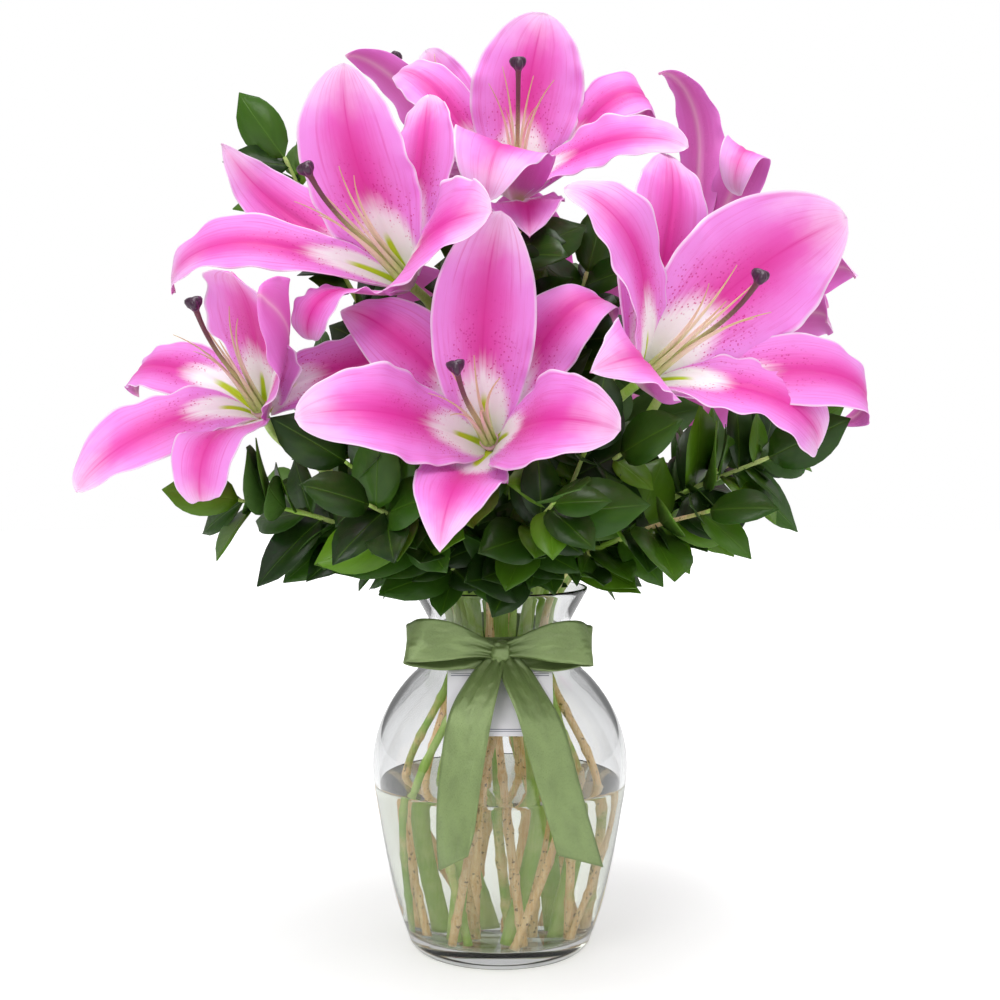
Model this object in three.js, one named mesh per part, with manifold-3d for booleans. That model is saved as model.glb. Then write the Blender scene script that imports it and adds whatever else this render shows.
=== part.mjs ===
// Pink oriental lilies and broad-leaved greens in a clear glass vase of water, tied with a satin bow.
// Millimetres, +Z up. The origin is the centre of the vase's foot, and the bouquet's front looks along -Y.
import * as THREE from "three";
import { mergeVertices } from "three/addons/utils/BufferGeometryUtils.js";
import Module from "manifold-3d";

const wasm = await Module();
wasm.setup();

// ---- driving dimensions -------------------------------------------------------------------------
const GAP = 0.3; // what touching pieces keep between them

// The two kinds of tepal. `widest` is where along its length a tepal is broadest, `base` and `blunt` how
// full it is before and after that (lower is fuller), `throat` the angle from the bloom's axis at which it
// starts, `start` its distance from that axis, and `cup` how far its edges rise, as a share of the half
// width.
const PETAL = {
  length: 124, width: 70, widest: 0.56, base: 0.62, blunt: 0.55, throat: 20, start: 4.2, cup: 0.1,
};
const SEPAL = {
  length: 122, width: 44, widest: 0.5, base: 0.75, blunt: 0.8, throat: 40, start: 5.4, cup: 0.05,
};
const TEPAL_THICKNESS = 0.9;
const TEPAL_ROWS = 5;
const TEPAL_COLUMNS = 2;
const WAVE_HEIGHT = 0.09; // of a tepal's ruffled edge, as a share of its half width
const CUP_BASE = { radius: 7, height: 7 }; // the solid ring that the six tepals grow from

const DISC = { radius: 4.5, height: 1.4 }; // that the pistil and the filaments stand on
const OVARY = { radius: 2 };
const STYLE = { length: 92, radius: 1.3, bow: 5 }; // the bow is how far its middle is off the straight line
const STIGMA = { radius: 3.8 };
const FILAMENT = { length: 80, radius: 0.85, start: 5, spread: 26 }; // angles from the axis, in degrees

const LILY_STEM = { radius: 4, pedicel: 2.6, sides: 6 };
const LEAFY_STEM = { radius: 2.3, tip: 1.2, sides: 3 };
// The rings of stems: the radius at the vase's neck, at its belly and on its floor, and the turn between
// neck and floor. The outer stems cross over each other by turns.
const LILY_RING = { neck: 15.5, belly: 34, foot: 27, twist: -52 };
const OUTER_STEMS = [
  { neck: 26.5, belly: 58, foot: 43, twist: -46 },
  { neck: 26.5, belly: 44, foot: 36, twist: 30 },
];
const INNER_STEMS = { neck: 6, belly: 20, foot: 14, twist: 50 };
// `outward` is how much more a leaf looks outwards with each mm from the vase's axis.
const LEAF = { length: 50, width: 30, thickness: 0.6, fold: 0.16, droop: 0.12, spacing: 19, outward: 0.007 };

const FLOOR = 11.6; // top of the vase's thick base
const FOOT = FLOOR + 1; // middle of a stem's cut end
const BELLY = 92; // height at which the stems spread widest
const NECK = 172; // height of the vase's narrowest place
const WATER_LEVEL = 97;
const SEGMENTS = 20; // of the turned pieces
const VASE_OUTSIDE = [
  [45.5, 0], [53.2, 4.5], [60.8, 28], [70.9, 78.2], [74.4, 106], [72.1, 123.8],
  [65.7, 139.7], [55.5, 154.4], [44.5, 165], [35.4, 172], [36.2, 180], [42.2, 192.7], [50.8, 208.4],
];
const VASE_INSIDE = [
  [49.4, 210], [39.2, 193.5], [33, 180], [32, 172], [42, 162], [52.6, 151.6],
  [62.6, 137.6], [68.8, 122.8], [71.1, 106], [67.7, 78.6], [57.4, 28], [51, 15.5], [46.5, FLOOR],
];
const RIBBON = { width: 24, thickness: 1, sections: 16, bandBottom: 171, bandTop: 186 };
const CARD = { width: 58, height: 40, thickness: 0.6, bottom: [0, -68.95, 136], lean: 34.6 };

// ---- small helpers ------------------------------------------------------------------------------
const radians = THREE.MathUtils.degToRad;
const smooth = (x) => THREE.MathUtils.smoothstep(x, 0, 1);
const vec = (x, y, z) => new THREE.Vector3(x, y, z);
const along = (origin, ...steps) => {
  const point = origin.clone();
  for (let i = 0; i < steps.length; i += 2) point.addScaledVector(steps[i], steps[i + 1]);
  return point;
};

// A closed geometry as a manifold-3d solid, so that pieces can be joined and cut.
function solid(geometry) {
  const bare = geometry.clone();
  bare.deleteAttribute("normal");
  bare.deleteAttribute("uv");
  const merged = mergeVertices(bare, 1e-4);
  return new wasm.Manifold(
    new wasm.Mesh({
      numProp: 3,
      vertProperties: new Float32Array(merged.attributes.position.array),
      triVerts: new Uint32Array(merged.index.array),
    }),
  );
}

function geometryOf(made) {
  const mesh = made.getMesh();
  return new THREE.BufferGeometry()
    .setAttribute("position", new THREE.BufferAttribute(mesh.vertProperties, 3))
    .setIndex(new THREE.BufferAttribute(mesh.triVerts, 1));
}

const union = (solids) => wasm.Manifold.union(solids);

// A closed blade: rows of points on its middle surface, thickened along the surface's normal. Both faces
// are split into the same triangles, so that a waved blade never crosses itself.
function blade(rows, thickness) {
  const last = rows.length - 1;
  const edge = rows[0].length - 1;
  const faces = [];
  const points = [];
  const at = (i, j, under) => (under ? (last + 1) * (edge + 1) : 0) + i * (edge + 1) + j;
  for (const side of [1, -1])
    rows.forEach((row, i) =>
      row.forEach((p, j) => {
        const down = rows[Math.min(i + 1, last)][j].clone().sub(rows[Math.max(i - 1, 0)][j]);
        const across = row[Math.min(j + 1, edge)].clone().sub(row[Math.max(j - 1, 0)]);
        const normal = down.cross(across).normalize();
        points.push(...along(p, normal, (side * thickness) / 2).toArray());
      }),
    );
  for (let i = 0; i < last; i++)
    for (let j = 0; j < edge; j++) {
      const [a, b, c, d] = [[i, j], [i, j + 1], [i + 1, j + 1], [i + 1, j]];
      faces.push(at(...a), at(...d), at(...c), at(...a), at(...c), at(...b));
      faces.push(at(...a, 1), at(...c, 1), at(...d, 1), at(...a, 1), at(...b, 1), at(...c, 1));
    }
  const rim = [];
  for (let i = 0; i < last; i++) rim.push([i, 0]);
  for (let j = 0; j < edge; j++) rim.push([last, j]);
  for (let i = last; i > 0; i--) rim.push([i, edge]);
  for (let j = edge; j > 0; j--) rim.push([0, j]);
  rim.forEach((p, k) => {
    const q = rim[(k + 1) % rim.length];
    faces.push(at(...q), at(...p), at(...p, 1), at(...q), at(...p, 1), at(...q, 1));
  });
  return new THREE.BufferGeometry()
    .setAttribute("position", new THREE.Float32BufferAttribute(points, 3))
    .setIndex(faces);
}

// A closed rod through `centres`, with a radius at each, round the section's `sides`.
function rod(centres, radii, sides, lobe = () => 1) {
  const last = centres.length - 1;
  const points = [];
  const faces = [];
  let side = vec(0.31, 0.22, 0.92);
  centres.forEach((p, i) => {
    const way = centres[Math.min(i + 1, last)].clone().sub(centres[Math.max(i - 1, 0)]).normalize();
    side = along(side, way, -side.dot(way)).normalize();
    const other = way.clone().cross(side);
    for (let k = 0; k < sides; k++) {
      const turn = (2 * Math.PI * k) / sides;
      const r = radii[i] * lobe(k, i);
      points.push(...along(p, side, r * Math.cos(turn), other, r * Math.sin(turn)).toArray());
    }
  });
  for (let i = 0; i < last; i++)
    for (let k = 0; k < sides; k++) {
      const [a, b] = [i * sides + k, i * sides + ((k + 1) % sides)];
      faces.push(a, b, b + sides, a, b + sides, a + sides);
    }
  for (let k = 1; k < sides - 1; k++) {
    faces.push(0, k + 1, k);
    faces.push(last * sides, last * sides + k, last * sides + k + 1);
  }
  return new THREE.BufferGeometry()
    .setAttribute("position", new THREE.Float32BufferAttribute(points, 3))
    .setIndex(faces);
}

// ---- lilies -------------------------------------------------------------------------------------
// Each bloom: `at` is where its stem meets the tepals, `turn` the way it faces (0 is the front, 90 the
// right) and `lift` how far it looks up, in degrees. Its tepals go round the clock as seen from its front:
// [kind, clock, flare, curl, long, wide, sway]. The flare is the angle that the tepal's middle makes with
// the bloom's axis, the curl what is added to it by the tip, and the sway how far it bends sideways.
const BLOOMS = [
  {
    name: "front",
    at: [-5, -45, 293],
    turn: -10,
    lift: 22,
    tepals: [
      [PETAL, 355, 45, 15, 1.05, 0.8, 20], [SEPAL, 30, 65, 145, 1.05, 0.95, 20],
      [PETAL, 110, 35, 65, 0.95, 0.8, -5], [SEPAL, 190, 30, 55, 1, 1.05, -10],
      [PETAL, 250, 30, 60, 1.05, 0.8, 5], [SEPAL, 325, 60, 70, 0.95, 1.05, -30],
    ],
  },
  {
    name: "upper_left",
    at: [-50, -30, 382],
    turn: -33,
    lift: 30,
    tepals: [
      [PETAL, 342, 20, 35, 1, 0.9, 20], [SEPAL, 15, 80, 35, 1, 1.05, -40],
      [PETAL, 100, 55, 45, 0.85, 0.95, -15], [SEPAL, 185, 30, 175, 0.75, 0.9, 25],
      [PETAL, 245, 40, 110, 1.25, 0.55, 0], [SEPAL, 280, 60, -45, 1.05, 0.95, 20],
    ],
  },
  {
    name: "left",
    at: [-135, -15, 310],
    turn: -15,
    lift: 33,
    tepals: [
      [PETAL, 30, 15, -30, 0.88, 1, 10], [SEPAL, 70, 95, 30, 0.9, 1, 0],
      [PETAL, 85, 35, -60, 0.95, 0.95, 5], [SEPAL, 170, 40, 190, 0.95, 1, 20],
      [PETAL, 225, 65, 45, 1, 0.65, -10], [SEPAL, 295, 100, 85, 1, 0.85, -15],
    ],
  },
  {
    name: "top",
    at: [10, 35, 440],
    turn: 0,
    lift: 36,
    tepals: [
      [PETAL, 5, 45, 20, 0.85, 0.95, 10], [SEPAL, 70, 45, 230, 1.1, 0.9, -10],
      [PETAL, 107, 50, 55, 1, 0.6, 0], [SEPAL, 170, 50, 35, 0.8, 1, 10],
      [PETAL, 205, 20, 125, 1.05, 0.8, -15], [SEPAL, 300, 50, 100, 0.95, 0.95, 20],
    ],
  },
  {
    name: "right",
    at: [75, -65, 327],
    turn: 35,
    lift: 28,
    tepals: [
      [SEPAL, 0, 60, 60, 1.1, 1.35, 25], [PETAL, 40, 50, -15, 1.1, 1.1, 30],
      [SEPAL, 115, 50, 155, 1.3, 1.05, -5], [PETAL, 145, 55, 100, 0.95, 0.7, -20],
      [SEPAL, 240, 40, 70, 1, 1.15, 15], [PETAL, 315, 45, 80, 1.05, 0.75, 0],
    ],
  },
  {
    name: "top_back_left",
    at: [0, 65, 455],
    turn: -95,
    lift: 50,
    tepals: [
      [PETAL, 285, 25, 10, 0.95, 0.6, 5], [SEPAL, 130, -10, 90, 1.05, 0.8, -10],
      [PETAL, 180, 75, 90, 0.95, 0.9, 5], [SEPAL, 240, 70, 110, 1, 1, 0],
      [PETAL, 70, 20, 90, 0.45, 0.6, 0], [SEPAL, 0, 50, 150, 0.75, 1, 0],
    ],
  },
  {
    name: "top_back_right",
    at: [115, 45, 405],
    turn: 138,
    lift: 22,
    tepals: [
      [SEPAL, 5, 60, 115, 1.1, 0.75, 0], [PETAL, 330, 95, 215, 1, 0.45, -20],
      [SEPAL, 90, 45, 60, 1, 1, 0], [PETAL, 120, 65, 15, 0.8, 0.8, -15],
      [SEPAL, 220, 35, 40, 0.8, 1, 0], [PETAL, 265, 5, 20, 0.75, 0.7, 0],
    ],
  },
  {
    name: "right_back",
    at: [117, 55, 347],
    turn: 140,
    lift: 35,
    tepals: [
      [SEPAL, 300, 60, 95, 1.05, 0.85, -25], [PETAL, 15, 95, 160, 0.6, 0.7, 0],
      [SEPAL, 90, 60, 50, 0.95, 0.9, 0], [PETAL, 150, 60, 80, 0.95, 1, 0],
      [SEPAL, 210, 60, 60, 0.9, 0.9, 0], [PETAL, 270, 65, 100, 0.85, 0.6, 5],
    ],
  },
  {
    name: "back",
    at: [15, 85, 335],
    turn: 180,
    lift: 30,
    tepals: [
      [PETAL, 0, 55, 40, 1, 0.95, 0], [SEPAL, 60, 60, 90, 1, 1, 0],
      [PETAL, 120, 60, 60, 1, 0.9, 0], [SEPAL, 180, 60, 80, 1, 1, 0],
      [PETAL, 240, 60, 40, 1, 0.9, 0], [SEPAL, 310, 60, 90, 1, 1, 0],
    ],
  },
];

function bloomFrame({ at, turn, lift }) {
  const [t, l] = [radians(turn), radians(lift)];
  const axis = vec(Math.sin(t) * Math.cos(l), -Math.cos(t) * Math.cos(l), Math.sin(l));
  const up = along(vec(0, 0, 1), axis, -axis.z).normalize();
  return { base: vec(...at), axis, up, right: up.clone().cross(axis) };
}

// Rows of points on a tepal's middle surface. Its midline leaves the throat beside the axis, leans out to
// the flare by its middle and curls past it, and its width is a power of a sine that peaks at `widest`.
function tepalRows(frame, [kind, clock, flare, curl, long, wide, sway], rowCount, columnCount) {
  const c = radians(clock);
  const out = along(vec(0, 0, 0), frame.up, Math.cos(c), frame.right, Math.sin(c));
  const side = along(vec(0, 0, 0), frame.up, -Math.sin(c), frame.right, Math.cos(c));
  const length = kind.length * long;
  const power = Math.log(0.5) / Math.log(kind.widest);
  const fine = 8; // steps of the midline to a row
  const point = along(frame.base, out, kind.start, frame.axis, CUP_BASE.height / 3);
  const rows = [];
  for (let i = 0; i <= rowCount * fine; i++) {
    const s = i / (rowCount * fine);
    const opened = kind.throat + 0.92 * (flare - kind.throat) * smooth(s / 0.4);
    const lean = radians(opened + curl * Math.max(0, (s - 0.45) / 0.55) ** 1.5);
    const bend = radians(sway * s);
    const straight = along(vec(0, 0, 0), frame.axis, Math.cos(lean), out, Math.sin(lean));
    const way = along(vec(0, 0, 0), straight, Math.cos(bend), side, Math.sin(bend));
    if (i) point.addScaledVector(way, length / (rowCount * fine));
    if (i % fine) continue;
    const across = along(vec(0, 0, 0), side, Math.cos(bend), straight, -Math.sin(bend));
    const inner = along(vec(0, 0, 0), frame.axis, Math.sin(lean), out, -Math.cos(lean));
    const full = s < kind.widest ? kind.base : kind.blunt;
    const swell = Math.sin(Math.PI * (0.04 + 0.96 * s) ** power) ** full;
    const half = (kind.width / 2) * wide * Math.max(0.03, swell || 0);
    const row = [];
    for (let j = 0; j <= columnCount; j++) {
      const t = (2 * j) / columnCount - 1;
      const phase = 2.2 * s + clock / 97 + (t > 0 ? 0.4 : 0);
      const wave = WAVE_HEIGHT * Math.sin(2 * Math.PI * phase) * Math.abs(t) ** 3 * smooth(3 * s);
      row.push(along(point, across, half * t, inner, half * (kind.cup * t * t + wave)));
    }
    rows.push(row);
  }
  return rows;
}

function bloomSolid(bloom) {
  const frame = bloomFrame(bloom);
  const top = along(frame.base, frame.axis, CUP_BASE.height);
  const cup = rod([frame.base, top], [CUP_BASE.radius - 1.5, CUP_BASE.radius], 8);
  const tepals = bloom.tepals.map((tepal) => tepalRows(frame, tepal, TEPAL_ROWS, TEPAL_COLUMNS));
  return union([cup, ...tepals.map((rows) => blade(rows, TEPAL_THICKNESS))].map(solid));
}

// The ovary, style and three-lobed stigma on a small disc, with six filaments standing on it round them.
function centreSolid(bloom) {
  const { base, axis, up, right } = bloomFrame(bloom);
  const root = along(base, axis, CUP_BASE.height + 2 * GAP);
  const end = STYLE.length;
  const heights = [0, DISC.height, DISC.height + 0.2, 22, 30, 60, end, end + 3, end + 5.5];
  const radii = [
    DISC.radius, DISC.radius, OVARY.radius, OVARY.radius, STYLE.radius, STYLE.radius, STYLE.radius,
    STIGMA.radius, STIGMA.radius * 0.6,
  ];
  const line = heights.map((h) => {
    const s = Math.max(0, (h - 2) / STYLE.length);
    return along(root, axis, h, up, STYLE.bow * 6.75 * s * s * (s - 1));
  });
  const pieces = [rod(line, radii, 6, (k, i) => (i > 6 ? (k % 2 ? 1.2 : 0.7) : 1))];
  for (let k = 0; k < 6; k++) {
    const a = radians(60 * k + 30 + bloom.turn);
    const out = along(vec(0, 0, 0), up, Math.cos(a), right, Math.sin(a));
    const point = along(root, axis, DISC.height * 0.4, out, DISC.radius - 1.35);
    const line = [point.clone()];
    for (const share of [0.25, 0.75]) {
      const lean = radians(FILAMENT.start + (FILAMENT.spread - FILAMENT.start) * share ** 1.5);
      point.addScaledVector(axis, (Math.cos(lean) * FILAMENT.length) / 2);
      point.addScaledVector(out, (Math.sin(lean) * FILAMENT.length) / 2);
      line.push(point.clone());
    }
    pieces.push(rod(line, [1, 0.85, 0.4].map((x) => x * FILAMENT.radius), 3));
  }
  return union(pieces.map(solid));
}

// ---- stems --------------------------------------------------------------------------------------
const polar = (radius, angle, z) =>
  vec(radius * Math.cos(radians(angle)), radius * Math.sin(radians(angle)), z);

// The points that a stem passes inside the vase, from its cut foot through the water to the neck.
function insideVase({ neck, belly, foot, twist }, angle) {
  const share = (NECK - BELLY) / (NECK - FOOT);
  return [
    polar(foot, angle + twist, FOOT), polar(belly, angle + twist * share, BELLY), polar(neck, angle, NECK),
  ];
}

const taper = (from, to, share) => from + (to - from) * Math.max(0, share);

// Centres of a stem: straight to the belly and the neck, then a smooth curve through the points given.
function stemLine([foot, belly, neck], points, count) {
  const curve = new THREE.CatmullRomCurve3([belly, neck, ...points], false, "centripetal");
  const share = 1 / (points.length + 1); // of the curve's parameter, before the neck
  const line = [foot, belly];
  for (let i = 0; i <= count; i++) line.push(curve.getPoint(share + ((1 - share) * i) / count));
  return line;
}

// Each lily stem: its angle round the neck, the points that it passes, and the blooms it carries. The
// first bloom is at the end of the stem and the second on a branch from the point `fork`.
const LILY_STEMS = [
  { angle: -90, through: [[1, -13, 225], [3, -24, 262]], blooms: ["front"] },
  { angle: 200, through: [[-36, -9, 222], [-78, -3, 262]], blooms: ["left"] },
  { angle: 150, through: [[-24, 12, 250], [-34, 6, 320]], blooms: ["upper_left", "top_back_left"], fork: 0,
    branch: [[-27, 33, 320], [-20, 44, 385]] },
  { angle: 90, through: [[5, 28, 250], [8, 46, 330]], blooms: ["top", "back"], fork: 0,
    branch: [[12, 44, 290]] },
  { angle: -30, through: [[28, -10, 240], [42, -20, 285]], blooms: ["right", "top_back_right"], fork: 0,
    branch: [[48, 4, 300], [76, 22, 350]] },
  { angle: 30, through: [[34, 18, 230], [74, 24, 285]], blooms: ["right_back"] },
];

function pedicelEnd(name) {
  const { base, axis } = bloomFrame(BLOOMS.find((bloom) => bloom.name === name));
  return [along(base, axis, -24), along(base, axis, -GAP)];
}

function lilyStemSolid({ angle, through, blooms, fork, branch }) {
  const points = through.map((p) => vec(...p));
  const steps = 3 + through.length;
  const below = insideVase(LILY_RING, angle);
  const line = stemLine(below, [...points, ...pedicelEnd(blooms[0])], steps);
  const radii = line.map((_, i) => taper(LILY_STEM.radius, LILY_STEM.pedicel, (i - 2) / steps));
  const rods = [rod(line, radii, LILY_STEM.sides)];
  if (branch) {
    const way = [points[fork], ...branch.map((p) => vec(...p)), ...pedicelEnd(blooms[1])];
    const curve = new THREE.CatmullRomCurve3(way, false, "centripetal");
    rods.push(rod(curve.getPoints(4), [3, 2.9, 2.8, 2.7, 2.6], 5));
  }
  return union(rods.map(solid));
}

// ---- leafy stems --------------------------------------------------------------------------------
// Each leafy stem: its angle round the neck, the points that it passes to its tip, and how many leaves.
// `face` is added to the way that its leaves look.
const LEAFY_STEMS = [
  ...[
    [11, [[46, 9, 222], [100, 4, 262], [160, -10, 296]], 8],
    [34, [[36, 24, 232], [64, 44, 285], [84, 62, 330]], 7],
    [56, [[28, 40, 220], [60, 80, 242], [88, 116, 250]], 6],
    [79, [[8, 38, 234], [16, 68, 276], [26, 96, 296]], 6],
    [101, [[-8, 44, 220], [-20, 92, 242], [-30, 130, 248]], 6],
    [124, [[-22, 32, 234], [-42, 62, 298], [-56, 84, 348]], 7],
    [146, [[-38, 28, 222], [-84, 56, 248], [-120, 80, 260]], 6],
    [169, [[-40, 8, 232], [-74, 18, 284], [-100, 30, 330]], 7],
    [191, [[-46, -8, 222], [-98, -22, 250], [-146, -36, 262]], 7],
    [214, [[-34, -22, 230], [-60, -40, 262], [-84, -58, 284]], 6],
    [236, [[-26, -40, 224], [-50, -70, 250], [-68, -94, 262]], 7],
    [259, [[-7, -36, 230], [-14, -54, 262], [-26, -70, 282]], 6],
    [281, [[10, -44, 224], [20, -74, 250], [28, -100, 264]], 7],
    [304, [[22, -32, 230], [38, -50, 268], [48, -66, 296]], 7],
    [326, [[38, -28, 222], [78, -52, 246], [112, -74, 258]], 6],
    [349, [[44, -10, 226], [96, -28, 262], [148, -46, 286]], 8],
  ].map(([angle, through, leaves], i) => {
    const front = through.at(-1)[1] < 60; // a stem that ends at the front or the side
    return { ring: OUTER_STEMS[i % 2], angle, through, leaves, face: [0, front ? -0.7 : 0.7, 0.6] };
  }),
  ...[
    [170, [[-22, 2, 250], [-60, 10, 330], [-98, 6, 405], [-124, -2, 458]], 6],
    [300, [[10, -6, 250], [18, -12, 330], [3, -34, 388], [11, -42, 410]], 6],
    [30, [[16, 6, 260], [36, 2, 340], [50, -6, 392]], 7],
    [90, [[-2, 12, 260], [-6, 16, 340], [-14, 6, 392]], 6],
    [240, [[-12, -10, 250], [-38, -26, 300], [-66, -26, 345]], 7],
    [350, [[20, -14, 240], [44, -36, 270], [66, -56, 288]], 6],
  ].map(([angle, through, leaves]) => ({ ring: INNER_STEMS, angle, through, leaves, face: [0, -1, 0.6] })),
];

// A repeatable number from 0 to 1 for a stem, a leaf and a use.
function draw(stem, leaf, use) {
  const x = Math.sin(stem * 12.9898 + leaf * 78.233 + use * 37.719) * 43758.5453;
  return x - Math.floor(x);
}

// A closed leaf, pointed at both ends and folded along its midrib. `more` thickens and widens it, to test
// what room it needs.
function leafBody(root, way, normal, length, width, more) {
  const side = way.clone().cross(normal);
  const at = (s, w, fold) => {
    const half = (width / 2 + more) * w;
    const rise = LEAF.fold * fold * Math.abs(half) - LEAF.droop * length * s * s;
    return along(root, way, length * s + (s === 1 ? more : 0), side, half, normal, rise);
  };
  const outline = [
    at(0, 0, 0), at(0.3, -1, 0), at(0.3, 1, 0),
    at(0.66, -0.84, 1), at(0.66, 0, 0), at(0.66, 0.84, 1), at(1, 0, 0),
  ];
  const points = [];
  for (const sign of [1, -1])
    for (const p of outline) points.push(...along(p, normal, sign * (LEAF.thickness / 2 + more)).toArray());
  const top = [0, 2, 1, 1, 2, 4, 1, 4, 3, 2, 5, 4, 3, 4, 6, 4, 5, 6];
  const under = [];
  for (let i = 0; i < top.length; i += 3) under.push(top[i] + 7, top[i + 2] + 7, top[i + 1] + 7);
  const rim = [0, 1, 3, 6, 5, 2];
  const walls = rim.flatMap((p, k) => {
    const q = rim[(k + 1) % 6];
    return [p, q, q + 7, p, q + 7, p + 7];
  });
  return new THREE.BufferGeometry()
    .setAttribute("position", new THREE.Float32BufferAttribute(points, 3))
    .setIndex([...top, ...under, ...walls]);
}

// The bends that a leaf tries, in turn, until it is clear of its neighbours:
// [degrees round the stem, degrees off it, size].
const BENDS = [
  [0, 0, 1], [25, 0, 1], [-25, 0, 1], [0, 22, 1], [0, -20, 1], [50, 10, 1], [-50, 10, 1],
  [25, 30, 0.9], [-25, 30, 0.9], [80, 0, 0.9], [-80, 0, 0.9], [0, 45, 0.85], [180, 0, 0.85],
  [140, 20, 0.85], [-140, 20, 0.85], [0, 0, 0.7], [60, 40, 0.7], [-60, 40, 0.7],
];

// The point and the direction of a stem's line at a distance back from its tip.
function fromTip(line, distance) {
  let i = line.length - 1;
  let left = Math.max(distance, 0.4);
  while (i > 1 && left > line[i].distanceTo(line[i - 1])) {
    left -= line[i].distanceTo(line[i - 1]);
    i--;
  }
  const way = line[i].clone().sub(line[i - 1]).normalize();
  return [along(line[i], way, -left), way];
}

// Where leaf number `k` of a stem grows and how it lies when it takes the bend given.
function leafPose(index, k, line, bend) {
  const { leaves, face } = LEAFY_STEMS[index];
  const [root, stem] = fromTip(line, k * LEAF.spacing * (0.85 + 0.3 * draw(index, k, 0)));
  const side = vec(0, 0, 1).cross(stem).normalize();
  const over = stem.clone().cross(side);
  const round = radians((k % 2 ? 0 : 180) + 24 + 40 * (draw(index, k, 1) - 0.5) * 2 + bend[0]);
  const off = radians(k === 0 ? 12 + bend[1] : 50 + 14 * draw(index, k, 2) + bend[1]);
  const out = along(vec(0, 0, 0), side, Math.cos(round), over, Math.sin(round));
  const way = along(vec(0, 0, 0), stem, Math.cos(off), out, Math.sin(off));
  const light = vec(
    root.x * LEAF.outward + face[0] + 0.5 * (draw(index, k, 3) - 0.5),
    root.y * LEAF.outward + face[1] + 0.5 * (draw(index, k, 4) - 0.5),
    face[2],
  );
  const normal = along(light, way, -light.dot(way)).normalize();
  const age = k === 0 || k > leaves - 3 ? 0.9 : 1;
  const size = bend[2] * (0.86 + 0.28 * draw(index, k, 5)) * age;
  return { root, way, normal, length: LEAF.length * size, width: LEAF.width * size };
}

function leafyLine({ ring, angle, through }) {
  return stemLine(insideVase(ring, angle), through.map((p) => vec(...p)), through.length + 1);
}

// ---- the turned pieces --------------------------------------------------------------------------
// A closed solid turned round Z from a profile of [radius, height] that starts and ends beside the axis.
function turned(profile, segments) {
  const points = [0, 0, profile[0][1], 0, 0, profile.at(-1)[1]];
  const faces = [];
  for (const [radius, z] of profile)
    for (let k = 0; k < segments; k++) points.push(...polar(radius, (360 * k) / segments, z).toArray());
  const at = (i, k) => 2 + i * segments + (k % segments);
  for (let k = 0; k < segments; k++) {
    faces.push(0, at(0, k + 1), at(0, k), 1, at(profile.length - 1, k), at(profile.length - 1, k + 1));
    for (let i = 0; i + 1 < profile.length; i++) {
      faces.push(at(i, k), at(i, k + 1), at(i + 1, k + 1), at(i, k), at(i + 1, k + 1), at(i + 1, k));
    }
  }
  return new THREE.BufferGeometry()
    .setAttribute("position", new THREE.Float32BufferAttribute(points, 3))
    .setIndex(faces);
}

// Radius of a profile at a height, on the part of it between two of its points' indices.
function radiusAt(profile, z) {
  for (let i = 0; i + 1 < profile.length; i++) {
    const [[r0, z0], [r1, z1]] = [profile[i], profile[i + 1]];
    if ((z - z0) * (z - z1) <= 0 && z0 !== z1) return r0 + ((r1 - r0) * (z - z0)) / (z1 - z0);
  }
  return profile[0][0];
}

function waterSolid(stems) {
  const inside = [...VASE_INSIDE].reverse().filter(([, z]) => z < WATER_LEVEL);
  const profile = inside.map(([r, z], i) => [r - GAP * 1.1, i ? z : z + GAP]);
  profile.push([radiusAt(VASE_INSIDE.slice(8), WATER_LEVEL) - GAP * 1.1, WATER_LEVEL]);
  const holes = stems.map(({ line: [foot, belly, neck], radius, sides }) => {
    const below = along(foot, belly.clone().sub(foot).normalize(), -6);
    return solid(rod([below, foot, belly, neck], Array(4).fill(radius + GAP), sides));
  });
  return solid(turned(profile, SEGMENTS)).subtract(union(holes));
}

// ---- ribbon and card ----------------------------------------------------------------------------
// Rows of points across a ribbon that follows `path`, whose stations are
// [x, y, z, share of the width, and the direction across the ribbon as x, y, z].
function ribbonRows(path, steps, cut) {
  const middle = path.map(([x, y, z]) => vec(x, y, z));
  const curve = new THREE.CatmullRomCurve3(middle, false, "centripetal");
  const rows = [];
  for (let i = 0; i <= steps; i++) {
    const at = (i / steps) * (path.length - 1);
    const low = Math.min(Math.floor(at), path.length - 2);
    const share = (k) => path[low][k] + (path[low + 1][k] - path[low][k]) * (at - low);
    const point = curve.getPoint(i / steps);
    const way = curve.getTangent(i / steps);
    const level = vec(share(4), share(5), share(6));
    const across = along(level, way, -level.dot(way)).normalize();
    const half = (RIBBON.width / 2) * share(3);
    const slant = i === steps ? cut * half : 0;
    rows.push([along(point, across, -half, way, -slant), along(point, across, half, way, slant)]);
  }
  return rows;
}

const LEFT_LOOP = [
  [-1, -47, 178.5, 0.3, 0, 0, 1], [-12, -53, 182.5, 0.5, 0, 0.1, 1], [-27, -58.5, 186, 0.86, -0.1, 0.1, 1],
  [-42, -58.5, 186.5, 1, -0.04, 0.12, 1], [-51, -53, 185, 1, 0, 0.1, 1], [-47, -47, 181.5, 1, 0, 0.45, 1],
  [-32, -44.5, 177.5, 0.95, 0, 0.8, 0.8], [-15, -44.5, 176.5, 0.65, 0, 0.6, 1], [-1, -46, 178, 0.35, 0, 0, 1],
];
const RIGHT_LOOP = [
  [2, -47, 178.5, 0.3, 0, 0, 1], [12, -53, 182, 0.5, 0, 0.1, 1], [27, -58.5, 185, 0.86, 0.1, 0.1, 1],
  [42, -58.5, 185.5, 1, 0.04, 0.12, 1], [50.5, -53, 184, 1, 0, 0.1, 1], [47, -47, 180.5, 1, 0, 0.45, 1],
  [32, -44.5, 176.5, 0.95, 0, 0.8, 0.8], [15, -44.5, 176, 0.65, 0, 0.6, 1], [2, -46, 178, 0.35, 0, 0, 1],
];
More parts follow.
